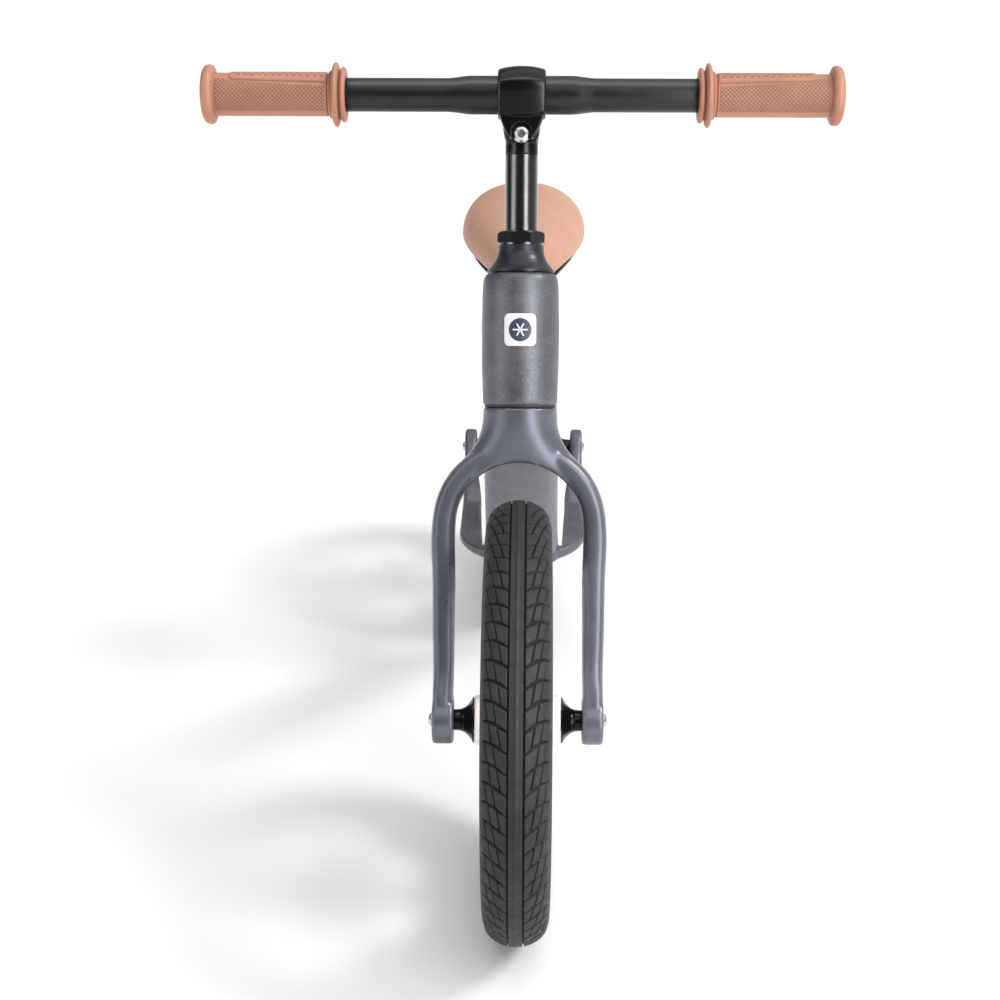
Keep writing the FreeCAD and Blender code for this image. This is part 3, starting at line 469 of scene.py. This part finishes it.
def tyre_section(radius):
    """One half of the tyre's outside, from the crown to the bead's foot, as a fine line of points."""
    shoulder = (SHOULDER_OUT, radius - SHOULDER_DROP)
    widest = (TYRE_HALF_WIDTH, radius - WIDEST_DEPTH)
    lip = (BEAD_HALF_WIDTH, radius - LIP_DEPTH)
    foot = radius - BEAD_DEPTH
    crown = three_point_arc((-shoulder[0], shoulder[1]), (0, radius), shoulder, 121)[60:]
    points = crown + three_point_arc(shoulder, (TYRE_HALF_WIDTH - 1.7, radius - 12.0), widest, 60)[1:]
    points += three_point_arc(widest, (TYRE_HALF_WIDTH - 2.0, radius - 34.0), lip, 60)[1:]
    points += [(BEAD_HALF_WIDTH, foot + (lip[1] - foot) * t) for t in (0.75, 0.5, 0.25, 0)]
    return np.array(points)


def tread_stops():
    """Distances from the middle where the surface has a row of points, closer at every groove edge."""
    low, high = DEEP_GROOVE
    stops = [0.0, 0.4, 0.7, 2.0, 3.2, low - 0.25, low, low + 0.15, high - 0.15, high, high + 0.25]
    stops += [7.0, 8.2, 9.4]
    for sipe in SIPES:
        stops += [sipe - 0.7, sipe - SIPE_HALF, sipe + SIPE_HALF, sipe + 0.7, sipe + 1.35, sipe + 1.95]
    return stops[:-1] + [TREAD_EDGE - 0.8, TREAD_EDGE, TREAD_EDGE + 0.4]


def tread_height(stop, t, row):
    """Height of the tread, in millimetres, at a distance from the middle and a share of the block."""
    low, high = DEEP_GROOVE
    if stop < low:
        return 0.0 if stop < 0.5 else -RIB_DROP
    if stop < high:
        return -RIB_DROP if stop == low else -GROOVE_DEPTH
    in_lateral = 0 < t < LATERAL_SHARE
    if in_lateral and stop < TREAD_EDGE:
        return -LATERAL_DEPTH
    if stop > TREAD_EDGE:
        return -EDGE_DEPTH
    for i, sipe in enumerate(SIPES):
        if abs(stop - sipe) < SIPE_HALF + 0.01 and (i + row) % 2 == 0 and not in_lateral:
            return -SIPE_DEPTH
    return -BLOCK_DROP


def make_tyre(name, node, centre):
    """A tyre with a rib down the middle, two deep grooves, chevron cross grooves and slanted sipes."""
    low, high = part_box(node)
    radius = (high.z - low.z) / 2 / MM
    section = tyre_section(radius)
    steps = np.hypot(*np.diff(section, axis=0).T)
    travelled = np.concatenate([[0], np.cumsum(steps)])
    tangent = np.gradient(section, travelled, axis=0)
    stops = tread_stops()
    stops += list(np.linspace(stops[-1] + 1.2, travelled[-1], 13))
    stops = np.array(stops)
    block_stops = [0.0, 0.2 * LATERAL_SHARE, 0.8 * LATERAL_SHARE]
    block_stops += list(np.linspace(LATERAL_SHARE, 1.0, 8)[:-1])
    window = smoothstep(stops, 7.5, 9.9) * (1 - smoothstep(stops, 21.6, 24.0))
    rise = CHEVRON_RISE * np.sin(math.pi / 2 * np.clip((stops - 5) / 17, 0, 1)) / radius
    inner = travelled[-1] * np.linspace(0.97, 0.0, 6) ** 0.9
    inner_x, inner_r, slope_x, slope_r = (
        np.interp(inner, travelled, line) for line in (*section.T, *tangent.T)
    )
    inner_x, inner_r = inner_x + slope_r * TYRE_WALL, inner_r - slope_x * TYRE_WALL
    rows, painted_shade_weights = [], []
    for k in range(PITCHES):
        for t in block_stops:
            lean = 0.5 - t / LATERAL_SHARE
            if t > LATERAL_SHARE:
                lean = (t - LATERAL_SHARE) / (1 - LATERAL_SHARE) - 0.5
            row = k - 1 if t == 0 else k
            at = stops + SIPE_SLANT * lean * window
            x = np.interp(at, travelled, section[:, 0])
            r = np.interp(at, travelled, section[:, 1])
            along_x = np.interp(at, travelled, tangent[:, 0])
            along_r = np.interp(at, travelled, tangent[:, 1])
            lift = np.array([tread_height(s, t, row) for s in stops])
            x, r = x - along_r * lift, r + along_x * lift
            angle = 2 * math.pi * (k + t) / PITCHES + rise
            inner_angle = np.full(len(inner), angle[-1])
            # weight of painted shade in the grooves and sipes, strongest where the tread is cut deepest
            depth = np.clip((-lift - 0.5) / 0.9, 0, 1)
            half = [(x, inner_x), (r, inner_r), (angle, inner_angle), (depth, np.zeros(len(inner)))]
            half_x, half_r, half_a, half_d = (np.concatenate(pair) for pair in half)
            # out from the middle to one bead and back inside, then the same on the other side
            ring_x = np.concatenate([half_x, -half_x[::-1][1:-1]])
            ring_r, ring_a, ring_d = (
                np.concatenate([line, line[::-1][1:-1]]) for line in (half_r, half_a, half_d)
            )
            painted_shade_weights.append(ring_d)
            rows.append(np.stack([ring_x, -ring_r * np.cos(ring_a), ring_r * np.sin(ring_a)], axis=1))
    points = np.array(rows)
    shaped = points.reshape(-1, 3) * MM + np.array(centre)
    made = mesh_object(name, shaped, grid_faces(len(rows), points.shape[1], wrap_rows=True))
    return with_groove_shade_weights(made, painted_shade_weights)


# ---- grips -------------------------------------------------------------------------------------

KNURL_PITCH = 2.8
KNURL_HEIGHT = 0.7
PANEL_RAISE = 0.7
PANEL_END = 0.868  # where the raised panel stops, as a share of the sleeve
DIMPLE_PITCH = 4.6
DIMPLE_LANES = (-26, -13, 0, 13, 26)  # degrees from the top
DIMPLE_DEPTH = 0.5
PANEL_EDGE_DEPTH = 0.35
SLEEVE_RADIUS = 14.2
SLEEVE_STEP = 0.46
GRIP_AROUND = 210
# The inner flanges as (distance out from the grip's inner end, radius)
GRIP_FLANGES = (
    (0.0, 11.2), (0.0, 15.0), (0.2, 17.2), (0.9, 18.1), (1.9, 18.2), (2.9, 17.6), (3.5, 16.2),
    (4.1, 15.8), (4.6, 16.6), (4.9, 19.2), (5.6, 20.8), (6.5, 21.2), (7.6, 20.8), (8.4, 19.2),
    (8.9, 16.9), (9.6, 15.9), (10.8, 15.4), (11.4, 14.2), (11.6, 13.6), (12.0, 13.6),
)
# The outer cap as (distance in from the grip's outer end, radius)
GRIP_CAP = (
    (9.5, 14.2), (9.2, 15.4), (8.9, 17.4), (8.2, 18.8), (7.0, 19.5), (5.4, 19.7), (3.8, 19.3),
    (2.5, 18.3), (1.6, 16.6), (0.9, 13.8), (0.4, 9.8), (0.1, 5.0), (0.0, 0.4),
)


def make_grip(name, node):
    """A rubber sleeve: diamond knurl, a raised dimpled panel on top, a smooth strip underneath."""
    low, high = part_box(node)
    side = 1 if low.x > 0 else -1
    inner_end, outer_end = sorted((abs(low.x) / MM, abs(high.x) / MM))
    body_start, body_end = inner_end + 12.2, outer_end - 9.8
    turns = round(2 * math.pi * SLEEVE_RADIUS / KNURL_PITCH)
    angle = np.arange(GRIP_AROUND) * 360 / GRIP_AROUND  # 0 at the front, 90 on top
    radians = np.radians(angle)
    up = np.abs((angle - 90 + 180) % 360 - 180)
    rows, painted_shade_weights = [], []
    for out, r in GRIP_FLANGES:
        rows.append((inner_end + out, np.full(GRIP_AROUND, r)))
        # painted shade in the gaps between the inner flanges
        painted_shade_weights.append(np.full(GRIP_AROUND, 0.9 if r < 14 or abs(r - 16) < 0.3 else 0.0))
    for x in np.linspace(body_start, body_end, int((body_end - body_start) / SLEEVE_STEP)):
        share = (x - body_start) / (body_end - body_start)
        corner = 1 - np.clip((PANEL_END - share) / 0.04, 0, 1)
        half_panel = (46 - 10 * share) * (1 - 0.2 * corner**2)
        end_fade = 1 - smoothstep(share, 0.86, 0.875)
        start_fade = smoothstep(x - body_start, 0.3, 1.0)
        panel = (1 - smoothstep(up, half_panel - 1.2, half_panel + 1.2)) * end_fade * start_fade
        half_smooth = half_panel + 12 - 8 * share
        underneath = smoothstep(up, 128, 131)
        knurled = smoothstep(up, half_smooth - 1, half_smooth + 2) * (1 - underneath)
        knurled *= smoothstep(x - body_start, 1.0, 2.0) * smoothstep(body_end - x, 0.6, 1.2)
        across = angle / 360 * turns
        along = x / KNURL_PITCH
        ridge_a = np.abs((across + along) % 1 - 0.5) * 2
        ridge_b = np.abs((across - along) % 1 - 0.5) * 2
        knurl = np.minimum(ridge_a, ridge_b) ** 0.8
        edge = np.exp(-(((up - half_panel - 2) / 1.6) ** 2)) * end_fade * start_fade
        dots = np.zeros(GRIP_AROUND)
        for lane, tilt in enumerate(DIMPLE_LANES):
            shift = 0.5 if lane % 2 else 0.0
            nearest = (np.round(x / DIMPLE_PITCH - shift) + shift) * DIMPLE_PITCH
            off_lane = np.radians((angle - 90) - tilt * (1 - 0.35 * share)) * SLEEVE_RADIUS
            reach = np.hypot(x - nearest, off_lane)
            dots = np.maximum(dots, 1 - smoothstep(reach, 0.6, 1.35))
        dots = dots * (up < half_panel - 5) * (0.04 < share < 0.83) * panel
        lift = KNURL_HEIGHT * knurl * knurled + PANEL_RAISE * panel
        lift = lift - DIMPLE_DEPTH * dots - PANEL_EDGE_DEPTH * edge
        rows.append((x, SLEEVE_RADIUS + lift))
        # painted shade in the knurl's grooves, the dimples and the groove round the panel
        grooves = knurled * (1 - smoothstep(knurl, 0.1, 0.6))
        painted_shade_weights.append(np.clip(grooves + 0.9 * dots + 0.7 * edge, 0, 1))
    for back, r in GRIP_CAP:
        rows.append((outer_end - back, np.full(GRIP_AROUND, r)))
        # painted shade in the groove where the cap meets the sleeve
        painted_shade_weights.append(np.full(GRIP_AROUND, 0.8 if r < 14.3 and back > 9 else 0.0))
    points = []
    for x, r in rows:
        y = BAR_LINE.y - r * MM * np.cos(radians)
        z = BAR_LINE.z + r * MM * np.sin(radians)
        points += [(side * x * MM, b, c) for b, c in zip(y, z)]
    made = mesh_object(name, points, grid_faces(len(rows), GRIP_AROUND))
    return with_groove_shade_weights(made, painted_shade_weights)


# ---- saddle ------------------------------------------------------------------------------------

# Share of the length from nose to tail, half width, top height above the saddle's floor
SADDLE_LINES = (
    (0.0, 14, 22), (0.1, 24, 28.5), (0.28, 36, 34), (0.46, 45.5, 37.5),
    (0.66, 51.2, 41.5), (0.84, 50.5, 45), (0.94, 44, 43.5), (1.0, 34, 38),
)
SADDLE_BELT = 0.010  # height of its widest line above its floor, in metres
SADDLE_TUCK = 0.0098
SADDLE_GAP = 0.0004  # kept inside the CAD box at the nose and the tail
SADDLE_ROUND_END = 0.13  # share of the length that each round end takes


def make_saddle(name, node):
    """A moulded foam seat: a full crown, sides that tuck in to the base, round nose and tail."""
    low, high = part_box(node)
    floor, length = low.z, high.y - low.y
    around, count = 72, 90
    lines = smooth_line(SADDLE_LINES, 200)
    rows = []
    for i in range(count):
        share = (1 - math.cos(math.pi * i / (count - 1))) / 2
        wide = np.interp(share, lines[:, 0], lines[:, 1]) * MM
        tall = np.interp(share, lines[:, 0], lines[:, 2]) * MM
        near = min(share / SADDLE_ROUND_END, (1 - share) / SADDLE_ROUND_END, 1.0)
        close = math.sqrt(max(1e-6, 1 - (1 - near) ** 2))
        for j in range(around):
            a = 2 * math.pi * j / around
            c, s = math.cos(a), math.sin(a)
            x = math.copysign(abs(c) ** 0.9, c) * wide * close
            if s >= 0:
                crown = abs(s) ** 0.95 * (0.45 + 0.55 * close)
                z = floor + SADDLE_BELT + (tall - SADDLE_BELT) * crown
            else:
                z = floor + SADDLE_BELT - SADDLE_TUCK * abs(s) ** 0.6
                x *= 1 - 0.18 * abs(s) ** 1.5
            rows.append((x, low.y + SADDLE_GAP + share * (length - 2 * SADDLE_GAP), z))
    return mesh_object(name, rows, grid_faces(count, around) + end_caps(count, around))


# ---- bar and clamp -----------------------------------------------------------------------------


BAR_MIDDLE, BAR_THIN, BAR_BORE = 12.7, 11.1, 9.3  # radii
SWAGE_START, SWAGE_END = 33, 50  # where the thick middle narrows, out from the centre


def make_bar(name, node):
    """A drawn tube that swells smoothly to its middle, with rounded ends."""
    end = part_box(node)[1].x / MM
    swell = [
        (x, BAR_MIDDLE - (BAR_MIDDLE - BAR_THIN) * float(smoothstep(x, SWAGE_START, SWAGE_END)))
        for x in np.linspace(SWAGE_START - 2, SWAGE_END + 2, 22)
    ]
    rounded = [(end - 0.6, BAR_THIN), (end, BAR_THIN - 0.5), (end, BAR_BORE), (end - 3, BAR_BORE)]
    half = [(0, BAR_MIDDLE)] + swell + rounded
    ring = [(-x, r) for x, r in reversed(half[1:])] + half
    bore = [(end - 12, BAR_BORE), (12 - end, BAR_BORE)]
    return lathe_on_x(name, ring + bore + [ring[0]], BAR_LINE)


# The clamp's outline from the side: forward and up from the bar's line, in millimetres
CLAMP_OUTLINE = (
    (15.6, -10.0), (15.9, 0.0), (15.2, 10.4), (13.0, 13.4), (4.0, 18.2), (-4.0, 18.8),
    (-12.0, 15.0), (-17.0, 7.0), (-17.6, -3.0), (-13.0, -12.5), (-3.0, -17.5), (8.0, -16.5),
)
CLAMP_HALF = 16.0
CLAMP_BORE = 12.8
# Right halves of the lip and of the neck under it, as (x, height up the steering axis)
SHIELD_SIDE = ((15.4, 409), (14.8, 400), (12.0, 391), (7.6, 384.4), (0, 381.6))
SHIELD_FRONT, SHIELD_BACK = 27.5, 15.0
NECK_SIDE = ((11.0, 384), (12.6, 392), (13.4, 400), (13.0, 408))
NECK_FRONT, NECK_BACK = 20.0, -9.0
COLLAR_RADIUS, COLLAR_LOW, COLLAR_HIGH = 11.1, 375.5, 400
SCREW_HOLE_RADIUS, SCREW_HOLE_BACK, SCREW_HOLE_FRONT = 6.5, 24.0, 40.0
# a dark ring that stands for the shadow in the gap between the fork's neck and the head tube
SHADE_RING_BORE, SHADE_RING_RADIUS, SHADE_RING_EDGE = 13.0, 24.2, 0.6
SHADE_RING_LOW, SHADE_RING_HIGH = 204.7, 208.1


def clamp_ring():
    """The crowned ring round the bar, bored through, as points and faces."""
    outline = smooth_line(CLAMP_OUTLINE + CLAMP_OUTLINE[:1], 121)[:-1]
    ends = [(1.0, 0.955), (0.975, 0.985), (0.93, 1.0)]
    shares = ends + [(t, 1.0) for t in np.linspace(0.85, 0, 8)]
    left = [(-t, k) for t, k in shares[:-1]]
    stations = left + [(0.0, 1.0)] + [(-t, k) for t, k in reversed(left)]
    rings = []
    for t, edge in stations:
        crown = edge * (1 - 0.125 * abs(t) ** 2.2)
        rings.append([(t * CLAMP_HALF, -f * crown, h * crown) for f, h in outline])
    angles = [math.atan2(h, f) for f, h in outline]
    for t in (1.0, -1.0):
        bore = [(-CLAMP_BORE * math.cos(a), CLAMP_BORE * math.sin(a)) for a in angles]
        rings.append([(t * CLAMP_HALF, y, z) for y, z in bore])
    points = [Vector(p) * MM + BAR_LINE for ring in rings for p in ring]
    return points, grid_faces(len(rings), len(outline), wrap_rows=True)


def prism(points):
    """A closed shape between two rings with the same number of points, as points and faces."""
    around = len(points) // 2
    return points, end_caps(2, around) + grid_faces(2, around)


def extruded(outline, front, back):
    """A plate from (x, height) points, between two distances forward in the steering frame."""
    return prism([steered(x, -forward, h) for forward in (front, back) for x, h in outline])


def steered_rod(radius, low, high, around=64):
    """A round rod on the steering axis between two heights, in millimetres."""
    return prism(steered_ring(radius, low, around) + steered_ring(radius, high, around))


def screw_hole(around=40):
    """A round cutter for the clamp screw's sunk head, along the steering frame's forward direction."""
    low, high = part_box("bar_clamp_bolt")
    height = (STEERING_FRAME.inverted() @ ((low + high) / 2) / MM).z
    points = []
    for forward in (SCREW_HOLE_BACK, SCREW_HOLE_FRONT):
        for i in range(around):
            a = 2 * math.pi * i / around
            up = height + SCREW_HOLE_RADIUS * math.sin(a)
            points.append(steered(SCREW_HOLE_RADIUS * math.cos(a), -forward, up))
    return prism(points)


def make_gap_shade_ring(name):
    """A dark ring that fills the gap between the fork's neck and the head tube as a painted shadow."""
    around = 96
    shoulder = SHADE_RING_RADIUS - SHADE_RING_EDGE
    profile = (
        (SHADE_RING_BORE, SHADE_RING_LOW), (shoulder, SHADE_RING_LOW), (SHADE_RING_RADIUS, SHADE_RING_LOW + 0.5),
        (SHADE_RING_RADIUS, SHADE_RING_HIGH - 0.5), (shoulder, SHADE_RING_HIGH), (SHADE_RING_BORE, SHADE_RING_HIGH),
    )
    points = [p for r, h in profile for p in steered_ring(r, h, around)]
    return mesh_object(name, points, grid_faces(len(profile), around, wrap_rows=True))


def merged(name, solids, cuts, voxel, rounds):
    """Closed shapes melted into one smooth casting, with holes cut by other closed shapes."""
    points, faces = [], []
    for some_points, some_faces in solids:
        faces += [tuple(k + len(points) for k in face) for face in some_faces]
        points += some_points
    made = mesh_object(name, points, faces)
    add_remesh(made, voxel)
    tools = []
    for cut_points, cut_faces in cuts:
        tool = mesh_object(name + "_cut", cut_points, cut_faces)
        bore = made.modifiers.new("bore", "BOOLEAN")
        bore.object = tool
        tools.append(tool)
    add_remesh(made, voxel)
    softened(made, rounds)
    for tool in tools:
        bpy.data.objects.remove(tool)
    return made


def make_clamp(name):
    """The forged clamp: crowned ring, shield-shaped lip with a sunk screw, and collar."""
    side = smooth_line(SHIELD_SIDE, 17)
    shield = [tuple(p) for p in side] + [(-x, h) for x, h in side[-2::-1]]
    neck = list(NECK_SIDE) + [(-x, h) for x, h in reversed(NECK_SIDE)]
    solids = [
        clamp_ring(),
        extruded(shield, SHIELD_FRONT, SHIELD_BACK),
        extruded(neck, NECK_FRONT, NECK_BACK),
        steered_rod(COLLAR_RADIUS, COLLAR_LOW, COLLAR_HIGH),
    ]
    return merged(name, solids, [screw_hole()], 0.0006, 5)


# ---- badge -------------------------------------------------------------------------------------


BADGE_HEIGHT = 257.0  # its middle, up the steering axis
HEAD_TUBE_RADIUS = 26.8
PLATE_HALF, PLATE_CORNER = 10.9, 3.4
DISC_RADIUS = 7.9
BAR_HALF_WIDTH, BAR_HALF_LENGTH = 0.55, 5.2


def wrapped_plate(name, outline, radius, thickness, rings=14, around=72):
    """A thin plate that follows the head tube. outline(angle) is its edge's distance from the middle."""
    points = []
    levels = [(k / rings, thickness) for k in range(1, rings)]
    levels += [(1 - 0.25 / outline(0), thickness), (1.0, thickness - 0.25), (1.0, 0.0)]
    levels += [(k / rings, 0.0) for k in range(rings - 1, 0, -1)]
    for share, lift in levels:
        for j in range(around):
            a = 2 * math.pi * j / around
            reach = outline(a) * share
            turn = reach * math.cos(a) / radius
            out = radius + lift
            height = BADGE_HEIGHT + reach * math.sin(a)
            points.append(steered(out * math.sin(turn), -out * math.cos(turn), height))
    caps = [face[::-1] for face in end_caps(len(levels), around)]
    return mesh_object(name, points, grid_faces(len(levels), around) + caps)


def round_square(half, corner):
    """The outline of a square with round corners, as distance from the middle at an angle."""

    def reach(a):
        c, s = abs(math.cos(a)), abs(math.sin(a))
        flat = half / max(c, s)
        if min(c, s) * flat <= half - corner:
            return flat
        k = (half - corner) * (c + s)
        return k + math.sqrt(max(0.0, k * k - 2 * (half - corner) ** 2 + corner**2))

    return reach


def make_badge():
    """A white plate with a plain mark of its own: a dark disc with three crossed bars."""
    plate = wrapped_plate("badge_plate", round_square(PLATE_HALF, PLATE_CORNER), HEAD_TUBE_RADIUS, 0.5)
    stands_for(plate, "badge", WHITE_PLATE)
    disc = wrapped_plate("badge_mark", lambda a: DISC_RADIUS, HEAD_TUBE_RADIUS + 0.42, 0.2)
    disc.data.materials.append(BADGE_INK)
    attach(disc, "frame")
    for i in range(3):
        turned = math.pi / 3 * i
        spoke = wrapped_plate(
            f"badge_spoke_{i + 1}",
            lambda a, t=turned: BAR_HALF_WIDTH / max(abs(math.sin(a - t)), BAR_HALF_WIDTH / BAR_HALF_LENGTH),
            HEAD_TUBE_RADIUS + 0.56, 0.15,
        )
        spoke.data.materials.append(WHITE_PLATE)
        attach(spoke, "frame")


# ---- putting it together -----------------------------------------------------------------------

finish_cad_nodes()

for end, centre in (("front", FRONT_AXLE), ("rear", REAR_AXLE)):
    tyre = make_tyre(end + "_tread_tyre", end + "_tyre", centre)
    stands_for(tyre, end + "_tyre", TYRE)
    rim = cast_skin(end + "_moulded_wheel", end + "_wheel", 0.0013, 4)
    stands_for(rim, end + "_wheel", CREAM)

for node in ("grip_left", "grip_right"):
    stands_for(make_grip("knurled_" + node, node), node, TERRACOTTA)

stands_for(cast_skin("cast_fork", "fork", 0.0011, 8), "fork", FORK_SLATE)
stands_for(cast_skin("cast_frame", "frame", 0.0018, 5), "frame", FRAME_GREY)

stands_for(make_bar("drawn_bar", "handlebar"), "handlebar", SATIN_STEEL)
# a dark ring put in the headset gap as a painted shadow, in place of the crown race
stands_for(make_gap_shade_ring("neck_seal"), "crown_race", VALVE)
stands_for(make_clamp("forged_clamp"), "stem_head", GLOSS_ALLOY)

saddle = make_saddle("foam_saddle", "saddle_cover")
stands_for(saddle, "saddle_cover", SADDLE_SKIN)
make_badge()


# ---- studio ------------------------------------------------------------------------------------

CAMERA_PLACE = (0.00866, -1.32375, 0.7155)
CAMERA_DOWN_DEG = 21.2
CAMERA_TURN_DEG = 1.134
CAMERA_LENS = 62.28


def make_camera():
    """The photograph's view, worked out from the bike's own proportions."""
    lens = bpy.data.cameras.new("camera")
    lens.lens = CAMERA_LENS
    lens.sensor_width = 36.0
    camera = bpy.data.objects.new("camera", lens)
    camera.location = CAMERA_PLACE
    camera.rotation_euler = (math.radians(90 - CAMERA_DOWN_DEG), 0, math.radians(CAMERA_TURN_DEG))
    bpy.context.scene.collection.objects.link(camera)
    bpy.context.scene.camera = camera


def make_floor():
    """A plain pale floor, just under the tyres."""
    half, level = 30.0, CAD_LOW.z - 0.0005
    corners = [(-half, -half, level), (half, -half, level), (half, half, level), (-half, half, level)]
    floor = mesh_object("studio_floor", corners, [(0, 1, 2, 3)], smooth=False)
    pale = surface(
        "studio_floor", paint(246, 246, 248), paint(243, 243, 245), (0.7, 0.8), 300, 0.00002, mottle=3,
    )
    floor.data.materials.append(pale)


def sun(name, strength, spread_deg, azimuth_deg, elevation_deg):
    """A distant light. Azimuth 0 is in front of the bike (-Y) and 90 on its +X side."""
    light = bpy.data.lights.new(name, "SUN")
    light.energy = strength
    light.angle = math.radians(spread_deg)
    made = bpy.data.objects.new(name, light)
    a, e = math.radians(azimuth_deg), math.radians(elevation_deg)
    towards = Vector((math.sin(a) * math.cos(e), -math.cos(a) * math.cos(e), math.sin(e)))
    made.rotation_mode = "QUATERNION"
    made.rotation_quaternion = towards.to_track_quat("Z", "Y")
    bpy.context.scene.collection.objects.link(made)


def softbox(name, power, width, height, place, aim, gloss_only=False, only_on=None):
    """A rectangular lamp at a place, facing a point. Gloss only makes it show just as a reflection,
    and it can be kept to the pieces of one collection."""
    light = bpy.data.lights.new(name, "AREA")
    light.shape = "RECTANGLE"
    light.size, light.size_y = width, height
    light.energy = power
    made = bpy.data.objects.new(name, light)
    made.location = place
    made.rotation_mode = "QUATERNION"
    made.rotation_quaternion = (Vector(place) - Vector(aim)).to_track_quat("Z", "Y")
    made.visible_diffuse = not gloss_only
    if only_on:
        made.light_linking.receiver_collection = only_on
    bpy.context.scene.collection.objects.link(made)


def make_world():
    """A dim room, brighter behind the bike and on its +X side. The camera itself sees white."""
    world = bpy.data.worlds.new("studio")
    world.use_nodes = True
    nodes, links = world.node_tree.nodes, world.node_tree.links
    direction = nodes.new("ShaderNodeTexCoord").outputs["Generated"]
    lit_side = nodes.new("ShaderNodeVectorMath")
    lit_side.operation = "DOT_PRODUCT"
    lit_side.inputs[1].default_value = (0.75, 0.66, 0.0)
    links.new(direction, lit_side.inputs[0])
    fall = nodes.new("ShaderNodeMapRange")
    fall.inputs["From Min"].default_value = -0.6
    fall.inputs["From Max"].default_value = 0.9
    fall.inputs["To Min"].default_value = 0.14
    fall.inputs["To Max"].default_value = 0.62
    links.new(lit_side.outputs["Value"], fall.inputs["Value"])
    seen = nodes.new("ShaderNodeMix")
    links.new(nodes.new("ShaderNodeLightPath").outputs["Is Camera Ray"], seen.inputs["Factor"])
    links.new(fall.outputs["Result"], seen.inputs["A"])
    seen.inputs["B"].default_value = 1.0
    background = nodes["Background"]
    background.inputs["Color"].default_value = (0.98, 0.99, 1.0, 1.0)
    links.new(seen.outputs["Result"], background.inputs["Strength"])
    bpy.context.scene.world = world


def pieces_in(*finishes):
    """The pieces with these finishes, gathered so that a lamp can reflect in them alone."""
    gathered = bpy.data.collections.new("lit_pieces")
    for made in list(bpy.data.objects):
        finish = made.data.materials[:1] if made.type == "MESH" else []
        if finish and finish[0] in finishes:
            gathered.objects.link(made)
    return gathered


make_camera()
make_floor()
make_world()
sun("overhead", 1.75, 90, 60, 80)
sun("key", 1.45, 16, 84, 46)
MIDDLE = (0, -0.2, 0.4)
RIGHT, LEFT = (0.74, -1.15, 0.72), (-1.06, -0.76, 0.72)
softbox("right_fill", 7.0, 0.5, 1.3, RIGHT, MIDDLE)
softbox("left_fill", 2.5, 0.6, 1.3, LEFT, MIDDLE)
softbox("right_shine", 13.0, 0.5, 1.3, RIGHT, MIDDLE, gloss_only=True)
softbox("left_shine", 5.0, 0.6, 1.3, LEFT, MIDDLE, gloss_only=True)
glossy = pieces_in(GLOSS_ALLOY, GLOSS_STEEL)
topped = pieces_in(GLOSS_ALLOY, SATIN_STEEL)
softbox("right_glint", 260.0, 0.45, 1.3, RIGHT, MIDDLE, gloss_only=True, only_on=glossy)
softbox("left_glint", 200.0, 0.55, 1.3, LEFT, MIDDLE, gloss_only=True, only_on=glossy)
softbox("top_glint", 15.0, 2.4, 0.6, (0, -0.1, 1.9), (0, -0.15, 0.55), gloss_only=True, only_on=topped)
bpy.context.scene.view_settings.view_transform = "Standard"
